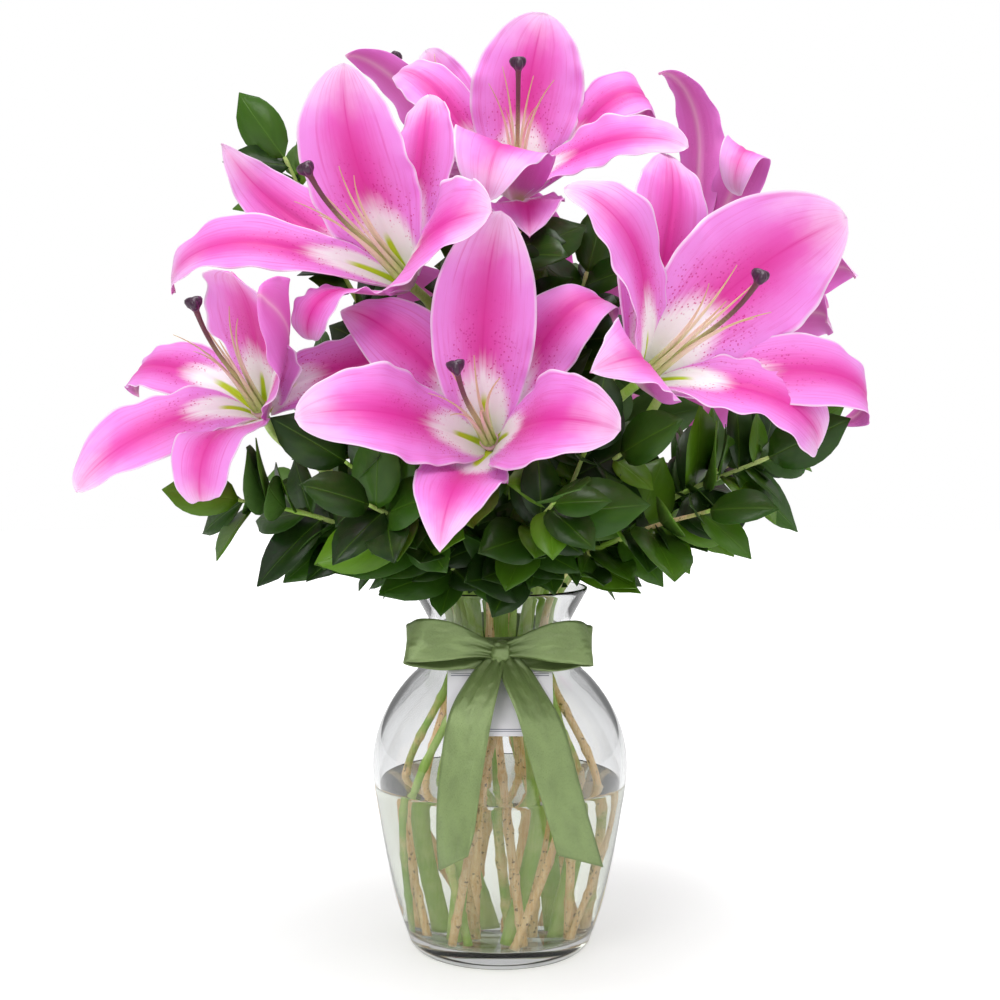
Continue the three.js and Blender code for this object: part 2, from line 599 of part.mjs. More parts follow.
const LEFT_TAIL = [
  [-1, -47, 177, 0.35, 1, 0, 0], [-8, -57, 166, 0.8, 1, -0.15, 0.25], [-16, -71, 147, 1, 1, -0.22, 0.1],
  [-21.5, -77, 114, 1, 1, -0.3, 0], [-24, -78.5, 90, 1, 0.85, -0.5, 0], [-25.5, -78.5, 69, 1, 0.62, -0.78, 0],
];
const RIGHT_TAIL = [
  [3, -47, 177, 0.35, 1, 0, 0], [10, -57, 166, 0.8, 1, 0.1, -0.3], [21.5, -71, 145, 1, 1, 0.3, -0.25],
  [31, -73.5, 113, 1, 1, 0.42, -0.2], [38, -71, 88, 1, 1, 0.5, -0.25], [44, -67, 67, 1, 1, 0.5, -0.3],
];

// The band round the neck, the knot, the two loops and the two tails.
function ribbonSolid() {
  const clear = 1 / Math.cos(Math.PI / RIBBON.sections);
  const inside = [RIBBON.bandBottom, 178, RIBBON.bandTop].map((z) => [
    (radiusAt(VASE_OUTSIDE, z) + GAP) * clear + 0.2,
    z,
  ]);
  const outside = inside.map(([r, z]) => [r + RIBBON.thickness, z]);
  inside[0][1] -= 1;
  inside[2][1] += 1;
  const band = solid(turned(outside, RIBBON.sections)).subtract(solid(turned(inside, RIBBON.sections)));
  const knot = rod(
    [vec(-6, -45, 178.4), vec(-2, -45, 178.6), vec(3, -45, 178.4), vec(7, -45, 178)],
    [5, 7.4, 7.4, 5],
    6,
  );
  const strips = [
    ribbonRows(LEFT_LOOP, 12, 0),
    ribbonRows(RIGHT_LOOP, 12, 0),
    ribbonRows(LEFT_TAIL, 6, -0.6),
    ribbonRows(RIGHT_TAIL, 6, 0.8),
  ];
  return union([band, ...[knot, ...strips.map((rows) => blade(rows, RIBBON.thickness))].map(solid)]);
}

function cardGeometry() {
  const card = new THREE.BoxGeometry(CARD.width, CARD.thickness, CARD.height);
  card.translate(0, 0, CARD.height / 2);
  card.rotateX(radians(-CARD.lean));
  card.translate(...CARD.bottom);
  return card;
}

// ---- the bouquet --------------------------------------------------------------------------------
const finish = (color, roughness) => new THREE.MeshStandardMaterial({ color, roughness, metalness: 0 });
const PINK = finish("#f06ab8", 0.5);
const PISTIL = finish("#d9c98a", 0.6);
const STEM_GREEN = finish("#6f9440", 0.6);
const LEAF_GREEN = finish("#2f5a26", 0.4);
const GLASS = finish("#dfe9e8", 0.05);
const WATER = finish("#cfd8d0", 0.05);
const SATIN = finish("#8ea37e", 0.35);
const PAPER = finish("#f7f5f6", 0.8);

const bouquet = new THREE.Group();
function add(name, geometry, material) {
  const mesh = new THREE.Mesh(geometry, material);
  mesh.name = name;
  bouquet.add(mesh);
}

const vase = solid(turned([...VASE_OUTSIDE, ...VASE_INSIDE], SEGMENTS));
const ribbon = ribbonSolid();
const card = solid(cardGeometry());
const blooms = BLOOMS.map(bloomSolid);
const centres = BLOOMS.map(centreSolid);
const lilyStems = LILY_STEMS.map(lilyStemSolid);
const leafy = LEAFY_STEMS.map(leafyLine);
const rods = leafy.map((line) => {
  const radii = line.map((_, i) => taper(LEAFY_STEM.radius, LEAFY_STEM.tip, (i - 2) / (line.length - 3)));
  return solid(rod(line, radii, LEAFY_STEM.sides));
});

// Leaves are placed stem by stem, each clear of everything that is already there.
const boxed = (body, owner) => ({ body, box: body.boundingBox(), owner });
const obstacles = [vase, ribbon, card, ...blooms, ...centres, ...lilyStems].map((body) => boxed(body));
const rodObstacles = rods.map(boxed);
const meets = (a, b) => [0, 1, 2].every((k) => a.min[k] <= b.max[k] && b.min[k] <= a.max[k]);
const crowded = ({ body, box }, list) =>
  list.some((other) => meets(box, other.box) && body.intersect(other.body).volume() > 0);
const foliage = leafy.map((line, index) => {
  const own = [];
  const others = rodObstacles.filter(({ owner }) => owner !== index);
  for (let k = 0; k < LEAFY_STEMS[index].leaves; k++)
    for (const bend of BENDS) {
      const { root, way, normal, length, width } = leafPose(index, k, line, bend);
      const room = boxed(solid(leafBody(root, way, normal, length, width, 0.5)));
      if (crowded(room, obstacles) || crowded(room, others) || crowded(room, own)) continue;
      own.push(boxed(solid(leafBody(root, way, normal, length, width, 0))));
      break;
    }
  obstacles.push(...own);
  return union([rods[index], ...own.map(({ body }) => body)]);
});

const inWater = [
  ...LILY_STEMS.map(({ angle }) => [LILY_RING, angle, LILY_STEM]),
  ...LEAFY_STEMS.map(({ ring, angle }) => [ring, angle, LEAFY_STEM]),
].map(([ring, angle, { radius, sides }]) => ({ line: insideVase(ring, angle), radius, sides }));

add("vase", geometryOf(vase), GLASS);
add("water", geometryOf(waterSolid(inWater)), WATER);
add("ribbon", geometryOf(ribbon), SATIN);
add("card", geometryOf(card), PAPER);
BLOOMS.forEach(({ name }, i) => add(`bloom_${name}`, geometryOf(blooms[i]), PINK));
BLOOMS.forEach(({ name }, i) => add(`centre_${name}`, geometryOf(centres[i]), PISTIL));
lilyStems.forEach((body, i) => add(`lily_stem_${i + 1}`, geometryOf(body), STEM_GREEN));
foliage.forEach((body, i) => add(`leafy_stem_${i + 1}`, geometryOf(body), LEAF_GREEN));

export default bouquet;
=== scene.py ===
"""Pink lilies and glossy greens in a clear glass vase of water, tied with a satin bow.

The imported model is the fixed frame. Every piece here stands for one of its nodes, is a surface worked out
on a grid from the same sizes as that node, and rides on the one body. Shapes are worked out in
millimetres and stored in metres, and the bouquet's front looks along -Y.
"""

import bpy
import numpy as np
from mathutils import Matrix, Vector


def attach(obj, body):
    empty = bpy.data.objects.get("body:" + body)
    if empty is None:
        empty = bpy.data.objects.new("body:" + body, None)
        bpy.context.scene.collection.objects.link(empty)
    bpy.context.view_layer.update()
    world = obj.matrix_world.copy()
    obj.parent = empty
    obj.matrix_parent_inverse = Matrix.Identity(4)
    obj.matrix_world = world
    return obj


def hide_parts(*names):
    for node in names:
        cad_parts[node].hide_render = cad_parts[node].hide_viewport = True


bl_info = {
    "name": "Lily bouquet",
    "version": (1, 0, 0),
    "blender": (4, 5, 0),
    "location": "View3D > Sidebar > Bouquet",
    "description": "Builds a vase of pink lilies with greens, a satin bow and a blank card",
    "category": "Add Mesh",
}

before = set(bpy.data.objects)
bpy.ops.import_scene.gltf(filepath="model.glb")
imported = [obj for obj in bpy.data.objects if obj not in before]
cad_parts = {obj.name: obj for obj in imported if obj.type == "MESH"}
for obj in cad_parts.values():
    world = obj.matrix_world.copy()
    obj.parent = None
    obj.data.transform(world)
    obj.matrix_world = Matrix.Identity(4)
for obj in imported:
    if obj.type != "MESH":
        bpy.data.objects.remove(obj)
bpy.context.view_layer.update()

MM = 0.001
TAU = 2 * np.pi
UP = np.array([0.0, 0.0, 1.0])

# ---- the bouquet's plan, in millimetres and degrees ---------------------------------------------
GAP = 0.3  # between touching solids
CUP_HEIGHT = 7.0  # of the small cup that the six tepals grow from
SOLID_STEPS = 40  # that a tepal's midline is summed in, which sets where its tip comes to lie

# Where a tepal is widest along its length, the powers that fill out its outline below and above that, the
# angle from the bloom's axis at which it leaves the throat, its distance from the axis there, and how far
# its edges rise.
PETAL = {"widest": 0.56, "base": 0.62, "blunt": 0.55, "throat": 20.0, "start": 4.2, "cup": 0.10}
SEPAL = {"widest": 0.50, "base": 0.75, "blunt": 0.80, "throat": 40.0, "start": 5.4, "cup": 0.05}

# Each bloom: the point where its stem meets it, the way it turns and how far it looks up, then its tepals
# round the clock: (kind, clock, flare, curl, long, wide, sway).
BLOOMS = {
    "front": ((-5, -45, 293), -10, 22, (
        (PETAL, 355, 45, 15, 1.05, 0.8, 20), (SEPAL, 30, 65, 145, 1.05, 0.95, 20),
        (PETAL, 110, 35, 65, 0.95, 0.8, -5), (SEPAL, 190, 30, 55, 1, 1.05, -10),
        (PETAL, 250, 30, 60, 1.05, 0.8, 5), (SEPAL, 325, 60, 70, 0.95, 1.05, -30))),
    "upper_left": ((-50, -30, 382), -33, 30, (
        (PETAL, 342, 20, 35, 1, 0.9, 20), (SEPAL, 15, 80, 35, 1, 1.05, -40),
        (PETAL, 100, 55, 45, 0.85, 0.95, -15), (SEPAL, 185, 30, 175, 0.75, 0.9, 25),
        (PETAL, 245, 40, 110, 1.25, 0.55, 0), (SEPAL, 280, 60, -45, 1.05, 0.95, 20))),
    "left": ((-135, -15, 310), -15, 33, (
        (PETAL, 30, 15, -30, 0.88, 1, 10), (SEPAL, 70, 95, 30, 0.9, 1, 0),
        (PETAL, 85, 35, -60, 0.95, 0.95, 5), (SEPAL, 170, 40, 190, 0.95, 1, 20),
        (PETAL, 225, 65, 45, 1, 0.65, -10), (SEPAL, 295, 100, 85, 1, 0.85, -15))),
    "top": ((10, 35, 440), 0, 36, (
        (PETAL, 5, 45, 20, 0.85, 0.95, 10), (SEPAL, 70, 45, 230, 1.1, 0.9, -10),
        (PETAL, 107, 50, 55, 1, 0.6, 0), (SEPAL, 170, 50, 35, 0.8, 1, 10),
        (PETAL, 205, 20, 125, 1.05, 0.8, -15), (SEPAL, 300, 50, 100, 0.95, 0.95, 20))),
    "right": ((75, -65, 327), 35, 28, (
        (SEPAL, 0, 60, 60, 1.1, 1.35, 25), (PETAL, 40, 50, -15, 1.1, 1.1, 30),
        (SEPAL, 115, 50, 155, 1.3, 1.05, -5), (PETAL, 145, 55, 100, 0.95, 0.7, -20),
        (SEPAL, 240, 40, 70, 1, 1.15, 15), (PETAL, 315, 45, 80, 1.05, 0.75, 0))),
    "top_back_left": ((0, 65, 455), -95, 50, (
        (PETAL, 285, 25, 10, 0.95, 0.6, 5), (SEPAL, 130, -10, 90, 1.05, 0.8, -10),
        (PETAL, 180, 75, 90, 0.95, 0.9, 5), (SEPAL, 240, 70, 110, 1, 1, 0),
        (PETAL, 70, 20, 90, 0.45, 0.6, 0), (SEPAL, 0, 50, 150, 0.75, 1, 0))),
    "top_back_right": ((115, 45, 405), 138, 22, (
        (SEPAL, 5, 60, 115, 1.1, 0.75, 0), (PETAL, 330, 95, 215, 1, 0.45, -20),
        (SEPAL, 90, 45, 60, 1, 1, 0), (PETAL, 120, 65, 15, 0.8, 0.8, -15),
        (SEPAL, 220, 35, 40, 0.8, 1, 0), (PETAL, 265, 5, 20, 0.75, 0.7, 0))),
    "right_back": ((117, 55, 347), 140, 35, (
        (SEPAL, 300, 60, 95, 1.05, 0.85, -25), (PETAL, 15, 95, 160, 0.6, 0.7, 0),
        (SEPAL, 90, 60, 50, 0.95, 0.9, 0), (PETAL, 150, 60, 80, 0.95, 1, 0),
        (SEPAL, 210, 60, 60, 0.9, 0.9, 0), (PETAL, 270, 65, 100, 0.85, 0.6, 5))),
    "back": ((15, 85, 335), 180, 30, (
        (PETAL, 0, 55, 40, 1, 0.95, 0), (SEPAL, 60, 60, 90, 1, 1, 0),
        (PETAL, 120, 60, 60, 1, 0.9, 0), (SEPAL, 180, 60, 80, 1, 1, 0),
        (PETAL, 240, 60, 40, 1, 0.9, 0), (SEPAL, 310, 60, 90, 1, 1, 0))),
}

# Heights: the stems' cut feet, where they spread widest, the vase's neck, its rim and the water's surface.
FOOT, BELLY, NECK, RIM, WATER_LEVEL = 12.6, 92.0, 172.0, 210.0, 97.0

# The vase's outline, from the foot up, and its inside, from the rim down: (radius, height).
VASE_OUTSIDE = (
    (45.5, 0), (53.2, 4.5), (60.8, 28), (70.9, 78.2), (74.4, 106), (72.1, 123.8),
    (65.7, 139.7), (55.5, 154.4), (44.5, 165), (35.4, 172), (36.2, 180), (42.2, 192.7), (50.8, 208.4),
)
VASE_INSIDE = (
    (49.4, 210), (39.2, 193.5), (33, 180), (32, 172), (42, 162), (52.6, 151.6),
    (62.6, 137.6), (68.8, 122.8), (71.1, 106), (67.7, 78.6), (57.4, 28), (51, 15.5), (46.5, 11.6),
)

# The rings of stems: (radius at the neck, at the belly and on the floor, and the turn between neck and
# floor). The outer stems cross over each other by turns.
LILY_RING, INNER_RING = (15.5, 34, 27, -52), (6, 20, 14, 50)
OUTER_RINGS = (26.5, 58, 43, -46), (26.5, 44, 36, 30)

# Each lily stem: its angle round the neck, the points that it passes, its bloom, and a branch if it forks
# at the first point: (the branch's points, its bloom).
LILY_STEMS = (
    (-90, ((1, -13, 225), (3, -24, 262)), "front", None),
    (200, ((-36, -9, 222), (-78, -3, 262)), "left", None),
    (150, ((-24, 12, 250), (-34, 6, 320)), "upper_left",
     (((-27, 33, 320), (-20, 44, 385)), "top_back_left")),
    (90, ((5, 28, 250), (8, 46, 330)), "top", (((12, 44, 290),), "back")),
    (-30, ((28, -10, 240), (42, -20, 285)), "right",
     (((48, 4, 300), (76, 22, 350)), "top_back_right")),
    (30, ((34, 18, 230), (74, 24, 285)), "right_back", None),
)

# Each leafy stem: its angle round the neck, the points that it passes to its tip, and how many leaves its
# solid has. The outer ones face up and forwards, or backwards at the back, and the inner ones forwards.
OUTER_STEMS = (
    (11, ((46, 9, 222), (100, 4, 262), (160, -10, 296)), 8),
    (34, ((36, 24, 232), (64, 44, 285), (84, 62, 330)), 7),
    (56, ((28, 40, 220), (60, 80, 242), (88, 116, 250)), 6),
    (79, ((8, 38, 234), (16, 68, 276), (26, 96, 296)), 6),
    (101, ((-8, 44, 220), (-20, 92, 242), (-30, 130, 248)), 6),
    (124, ((-22, 32, 234), (-42, 62, 298), (-56, 84, 348)), 7),
    (146, ((-38, 28, 222), (-84, 56, 248), (-120, 80, 260)), 6),
    (169, ((-40, 8, 232), (-74, 18, 284), (-100, 30, 330)), 7),
    (191, ((-46, -8, 222), (-98, -22, 250), (-146, -36, 262)), 7),
    (214, ((-34, -22, 230), (-60, -40, 262), (-84, -58, 284)), 6),
    (236, ((-26, -40, 224), (-50, -70, 250), (-68, -94, 262)), 7),
    (259, ((-7, -36, 230), (-14, -54, 262), (-26, -70, 282)), 6),
    (281, ((10, -44, 224), (20, -74, 250), (28, -100, 264)), 7),
    (304, ((22, -32, 230), (38, -50, 268), (48, -66, 296)), 7),
    (326, ((38, -28, 222), (78, -52, 246), (112, -74, 258)), 6),
    (349, ((44, -10, 226), (96, -28, 262), (148, -46, 286)), 8),
)
INNER_STEMS = (
    (170, ((-22, 2, 250), (-60, 10, 330), (-98, 6, 405), (-124, -2, 458)), 6),
    (300, ((10, -6, 250), (18, -12, 330), (3, -34, 388), (11, -42, 410)), 6),
    (30, ((16, 6, 260), (36, 2, 340), (50, -6, 392)), 7),
    (90, ((-2, 12, 260), (-6, 16, 340), (-14, 6, 392)), 6),
    (240, ((-12, -10, 250), (-38, -26, 300), (-66, -26, 345)), 7),
    (350, ((20, -14, 240), (44, -36, 270), (66, -56, 288)), 6),
)
LEAFY_STEMS = tuple(
    (OUTER_RINGS[i % 2], angle, through, leaves, (0, -0.7 if through[-1][1] < 60 else 0.7, 0.6))
    for i, (angle, through, leaves) in enumerate(OUTER_STEMS)
)
LEAFY_STEMS += tuple((INNER_RING, *stem, (0, -1, 0.6)) for stem in INNER_STEMS)
LEAF_SPACING = 19.0  # along the stem
LEAF_OUTWARD = 0.007  # how much more a leaf looks outwards with each mm from the vase's axis

# The bends that a leaf tries, in turn, until it is clear: (round the stem, off it, size).
BENDS = (
    (0, 0, 1), (25, 0, 1), (-25, 0, 1), (0, 22, 1), (0, -20, 1), (50, 10, 1), (-50, 10, 1),
    (25, 30, 0.9), (-25, 30, 0.9), (80, 0, 0.9), (-80, 0, 0.9), (0, 45, 0.85), (180, 0, 0.85),
    (140, 20, 0.85), (-140, 20, 0.85), (0, 0, 0.7), (60, 40, 0.7), (-60, 40, 0.7),
)

# Radii of the lilies' stems at the foot, above a fork and at the bloom, and of a leafy stem at the foot,
# halfway and at its tip.
LILY_STEM_FOOT, LILY_STEM_FORK, LILY_STEM_TOP = 4.0, 3.0, 2.6
LEAFY_STEM_RADII = (2.4, 2.2, 1.0)

# The finer leaves: where they stand between two leaves of the solid, how many more hang over the rim from
# each stem, and how often one of those is tried.
BETWEEN = (0.25, 0.5, 0.75)
COLLAR_LEAVES, COLLAR_TRIES = 5, 8

# Rows and columns of a tepal's grid, of the coarser one that leaves are kept clear of, and of a leaf's.
TEPAL_GRID, COARSE_TEPAL_GRID, LEAF_GRID = (72, 31), (60, 31), (10, 3)
LEAF_FOOT = 4 * LEAF_GRID[1]  # points in a leaf's first two rows, which may touch what its stem touches
LATHE_SIDES = 128


# ---- settings -----------------------------------------------------------------------------------
def length(name, description, default):
    """A size in metres that a user may change."""
    return bpy.props.FloatProperty(name=name, description=description, default=default, unit="LENGTH")


def colour(name, description, default):
    """A linear RGB colour that a user may change."""
    return bpy.props.FloatVectorProperty(
        name=name, description=description, default=default, size=3, min=0, max=1, subtype="COLOR"
    )


class LilySettings(bpy.types.PropertyGroup):
    """Sizes and colours of the tepals"""

    petal_length: length("Petal length", "Length of the three broad tepals", 0.124)
    petal_width: length("Petal width", "Greatest width of the three broad tepals", 0.070)
    sepal_length: length("Sepal length", "Length of the three narrow tepals", 0.122)
    sepal_width: length("Sepal width", "Greatest width of the three narrow tepals", 0.044)
    thickness: length("Thickness", "Thickness of a tepal beside its midrib", 0.0009)
    ruffle: length("Ruffle", "Height of the small waves along a tepal's edge", 0.0016)
    deep: colour("Deep pink", "Along the midrib", (0.66, 0.026, 0.30))
    middle: colour("Middle pink", "Between the midrib and the edge", (0.81, 0.135, 0.58))
    pale: colour("Pale pink", "Towards the edge", (0.85, 0.300, 0.80))
    margin: colour("Margin", "The thin line along the edge", (0.94, 0.80, 0.94))
    throat: colour("Throat", "The white at the foot of a tepal", (0.93, 0.91, 0.92))
    nectary: colour("Nectary", "The furrow in the throat", (0.54, 0.70, 0.03))
    freckle: colour("Freckles", "The raised spots round the throat", (0.62, 0.015, 0.24))
    outside: colour("Outside", "The tepals' outer faces", (0.68, 0.130, 0.50))
    outside_rib: colour("Outside rib", "The keel along the outer faces", (0.82, 0.50, 0.62))


class CentreSettings(bpy.types.PropertyGroup):
    """Sizes and colours of the pistils and filaments"""

    style_length: length("Style length", "From the disc to the stigma", 0.092)
    bow: length("Style bow", "How far the style's middle is off the straight line", 0.005)
    filament_length: length("Filament length", "Length of each of the six filaments", 0.080)
    style_base: colour("Style base", "The style's lower part", (0.50, 0.60, 0.20))
    style_top: colour("Style top", "The style below the stigma", (0.13, 0.045, 0.050))
    filament_foot: colour("Filament foot", "The filaments' lower part", (0.60, 0.68, 0.26))
    filament_middle: colour("Filament middle", "The filaments' paler middle", (0.86, 0.80, 0.56))
    filament: colour("Filament", "The filaments' upper part", (0.66, 0.47, 0.21))
    stigma: colour("Stigma", "The three-lobed tip", (0.050, 0.014, 0.040))


class GreensSettings(bpy.types.PropertyGroup):
    """Sizes and colours of the leaves and all stems"""

    leaf_length: length("Leaf length", "Length of a middling leaf", 0.050)
    leaf_width: length("Leaf width", "Width of a middling leaf", 0.030)
    leaf_thickness: length("Leaf thickness", "Thickness beside the midrib", 0.0006)
    dark_leaf: colour("Dark leaf", "The older leaves", (0.012, 0.036, 0.005))
    green_leaf: colour("Green leaf", "Leaves of middle age", (0.034, 0.104, 0.007))
    young_leaf: colour("Young leaf", "The brightest leaves", (0.115, 0.260, 0.010))
    under_leaf: colour("Leaf underside", "Tints the leaves' undersides", (0.13, 0.25, 0.06))
    green_stem: colour("Green stem", "Smooth green stems", (0.26, 0.47, 0.05))
    pale_stem: colour("Pale green stem", "Lighter stretches of the green stems", (0.48, 0.60, 0.20))
    bark: colour("Bark", "Woody stems", (0.76, 0.47, 0.19))
    pale_bark: colour("Pale bark", "Lighter grain of the woody stems", (0.92, 0.72, 0.42))
    speck: colour("Bark specks", "Dark specks on the woody stems", (0.10, 0.05, 0.02))


class VaseSettings(bpy.types.PropertyGroup):
    """The glass and the water"""

    glass: colour("Glass", "Tint of the glass", (0.955, 0.958, 0.960))
    water: colour("Water", "Tint of the water", (0.935, 0.950, 0.900))
    water_level: length("Water level", "Height of the water's surface", WATER_LEVEL * MM)


class RibbonSettings(bpy.types.PropertyGroup):
    """The bow and the card behind it"""

    width: length("Ribbon width", "Width of the satin ribbon", 0.024)
    thickness: length("Ribbon thickness", "Thickness of the satin", 0.0004)
    satin: colour("Satin", "The ribbon's colour", (0.230, 0.325, 0.110))
    # The darker satin of the fine threads, also used as painted shade in broad patches and beside the knot.
    dark_weave_and_shade: colour("Satin in folds", "The ribbon's colour beside the knot", (0.135, 0.190, 0.062))
    card: colour("Card", "The card's colour", (0.83, 0.82, 0.86))
    border: colour("Border lines", "The thin lines on the card", (0.22, 0.22, 0.28))


class StageSettings(bpy.types.PropertyGroup):
    """The floor, the lamps and the camera"""

    floor: colour("Floor", "The pale surface that the vase stands on", (0.95, 0.95, 0.95))
    eye_height: length("Eye height", "The camera's height above the floor", 0.298)
    eye_distance: length("Eye distance", "The camera's distance from the vase's axis", 0.860)
    lens: bpy.props.FloatProperty(
        name="Lens", description="Focal length in mm on 36 mm film", default=53.24
    )
    pitch: bpy.props.FloatProperty(
        name="Pitch", description="How far the camera looks down, in degrees", default=2.5
    )
    key: bpy.props.FloatProperty(
        name="Key light", description="Power of the large soft key", default=8.4, unit="POWER"
    )
    sky: bpy.props.FloatProperty(
        name="Surround", description="How bright the surround is to all but the camera", default=0.55
    )


SETTINGS = {
    "bouquet_lily": LilySettings,
    "bouquet_centre": CentreSettings,
    "bouquet_greens": GreensSettings,
    "bouquet_vase": VaseSettings,
    "bouquet_ribbon": RibbonSettings,
    "bouquet_stage": StageSettings,
}


# ---- surfaces -----------------------------------------------------------------------------------
def unit(v):
    """Each vector over its length."""
    return v / np.maximum(np.linalg.norm(v, axis=-1, keepdims=True), 1e-12)


def smooth(x):
    """0 below 0, 1 above 1, and 3x^2 - 2x^3 between."""
    x = np.clip(x, 0, 1)
    return x * x * (3 - 2 * x)


def bump_at(x, centre, width):
    """A bell of height 1 round a centre: exp of minus the square of the distance over the width."""
    return np.exp(-(((x - centre) / width) ** 2))


class Surface:
    """Points in mm, faces of four corners (the last two alike on a triangle), named values at the points,
    and which faces are shaded flat, so that a thin edge stays crisp."""

    def __init__(self, points, faces, paint, layers, sharp=None):
        self.points = points
        self.faces = faces
        self.paint = np.full(len(faces), paint) if np.isscalar(paint) else paint
        self.layers = layers
        self.sharp = np.zeros(len(faces), bool) if sharp is None else sharp


def joined(parts):
    """One surface of several, with their points one after another. A layer that one lacks is 0 there."""
    starts = np.cumsum([0] + [len(p.points) for p in parts])
    names = sorted({name for p in parts for name in p.layers})
    return Surface(
        np.concatenate([p.points for p in parts]),
        np.concatenate([p.faces + start for p, start in zip(parts, starts)]),
        np.concatenate([p.paint for p in parts]),
        {n: np.concatenate([p.layers.get(n, np.zeros(len(p.points))) for p in parts]) for n in names},
        np.concatenate([p.sharp for p in parts]),
    )


def closed_tube(rings, paint=0, **layers):
    """Closed rings of points joined one to the next, with a fan on each end, faces turned outwards."""
    count, around = rings.shape[:2]
    points = np.concatenate([rings.reshape(-1, 3), rings[[0, -1]].mean(axis=1)])
    i, j = np.meshgrid(np.arange(count - 1), np.arange(around), indexing="ij")
    a, b = i * around + j, i * around + (j + 1) % around
    walls = np.stack([a, b, b + around, a + around], -1).reshape(-1, 4)
    k = np.arange(around)
    near, far = count * around, count * around + 1
    first = np.stack([(k + 1) % around, k, np.full(around, near), np.full(around, near)], -1)
    last = (count - 1) * around
    end = np.stack([last + k, last + (k + 1) % around, np.full(around, far), np.full(around, far)], -1)
    faces = np.concatenate([walls, first, end])
    p = points - points.mean(axis=0)
    volume = sum(
        np.einsum("ij,ij->i", p[faces[:, 0]], np.cross(p[faces[:, m]], p[faces[:, n]])).sum()
        for m, n in ((1, 2), (2, 3))
    )
    if volume < 0:
        faces = faces[:, [1, 0, 3, 2]]
        fans = slice(len(walls), None)
        faces[fans] = np.stack([faces[fans, 0], faces[fans, 1], faces[fans, 2], faces[fans, 2]], -1)
    values = {
        name: np.concatenate([v.reshape(-1), [v[0].mean(), v[-1].mean()]]) for name, v in layers.items()
    }
    return Surface(points, faces, paint, values)


def blade(middle, thickness, paint=0, **layers):
    """A closed blade: the middle surface moved half the thickness each way along its normal, and joined
    round the edges. The layer `inner` is 1 on the face that the normal points out of, and 0 on the other."""
    down, across = np.gradient(middle, axis=0), np.gradient(middle, axis=1)
    normal = unit(np.cross(across, down))
    half = np.asarray(thickness)[..., None] / 2
    rings = np.concatenate([middle + normal * half, (middle - normal * half)[:, ::-1]], axis=1)
    both = {name: np.concatenate([v, v[:, ::-1]], axis=1) for name, v in layers.items()}
    face = np.ones(middle.shape[:2])
    made = closed_tube(rings, paint, inner=np.concatenate([face, face * 0], axis=1), **both)
    rows, columns = middle.shape[:2]
    place = np.arange(len(made.faces))
    made.sharp = (place % columns == columns - 1) | (place >= (rows - 1) * 2 * columns)
    return made


def tube(line, radii, sides, paint=0, lobe=None, **layers):
    """A round tube along a line of points: at each, a circle of that radius across the line's direction,
    turned as little as it can be from the one before. `lobe` multiplies the radius round the circle."""
    way = unit(np.gradient(line, axis=0))
    side = np.empty_like(line)
    side[0] = unit(np.cross(way[0], (0.31, 0.92, 0.22)))
    for i in range(1, len(line)):
        side[i] = unit(side[i - 1] - way[i] * (side[i - 1] @ way[i]))
    other = np.cross(way, side)
    turn = np.arange(sides) * TAU / sides
    r = np.broadcast_to(np.asarray(radii, float)[:, None], (len(line), sides))
    r = r if lobe is None else r * lobe
    rings = line[:, None] + r[..., None] * (
        np.cos(turn)[:, None] * side[:, None] + np.sin(turn)[:, None] * other[:, None]
    )
    spread = {name: np.broadcast_to(np.asarray(v)[:, None], (len(line), sides)) for name, v in layers.items()}
    return closed_tube(rings, paint, **spread)


def lathe(profile):
    """A solid turned round Z: each (radius, height) of the profile carried round a circle."""
    turn = np.arange(LATHE_SIDES) * TAU / LATHE_SIDES
    r, z = profile[:, :1], profile[:, 1:]
    rings = np.stack([r * np.cos(turn), r * np.sin(turn), np.broadcast_to(z, (len(z), LATHE_SIDES))], -1)
    return closed_tube(rings)


def spline(points, shares):
    """A centripetal Catmull-Rom curve through the points, at shares of its run from 0 to 1. Columns past
    the third ride along with the place."""
    p = np.asarray(points, float)
    p = np.concatenate([[2 * p[0] - p[1]], p, [2 * p[-1] - p[-2]]])
    gap = np.maximum(np.linalg.norm(np.diff(p[:, :3], axis=0), axis=1), 1e-8) ** 0.5
    at = np.asarray(shares, float) * (len(p) - 3)
    i = np.minimum(at.astype(int), len(p) - 4)
    u = (at - i)[:, None]
    d0, d1, d2 = gap[i][:, None], gap[i + 1][:, None], gap[i + 2][:, None]
    x0, x1, x2, x3 = p[i], p[i + 1], p[i + 2], p[i + 3]
    t1 = d1 * ((x1 - x0) / d0 - (x2 - x0) / (d0 + d1) + (x2 - x1) / d1)
    t2 = d1 * ((x2 - x1) / d1 - (x3 - x1) / (d1 + d2) + (x3 - x2) / d2)
    return x1 + t1 * u + (3 * (x2 - x1) - 2 * t1 - t2) * u**2 + (2 * (x1 - x2) + t1 + t2) * u**3


def run_of(line):
    """How far along a line each of its points lies: the sum of the steps before it."""
    return np.concatenate([[0], np.cumsum(np.linalg.norm(np.diff(line[:, :3], axis=0), axis=1))])


def even(line, count):
    """The same line in `count` points at equal distances along it."""
    run = run_of(line)
    at = np.linspace(0, run[-1], count)
    return np.stack([np.interp(at, run, column) for column in line.T], -1)


def profile_curve(points, count):
    """The smooth curve through (radius, height) points, in `count` points."""
    flat = np.insert(np.array(points, float), 2, 0, axis=1)
    return spline(flat, np.linspace(0, 1, count))[:, :2]


def radius_at(profile, z):
    """The radius of a profile at a height, straight between its points."""
    profile = np.array(profile)
    order = profile[:, 1].argsort()
    return np.interp(z, profile[order, 1], profile[order, 0])


def draw(stem, leaf, use):
    """A repeatable number from 0 to 1: the fraction of a large multiple of a sine."""
    x = np.sin(stem * 12.9898 + leaf * 78.233 + use * 37.719) * 43758.5453
    return x - np.floor(x)


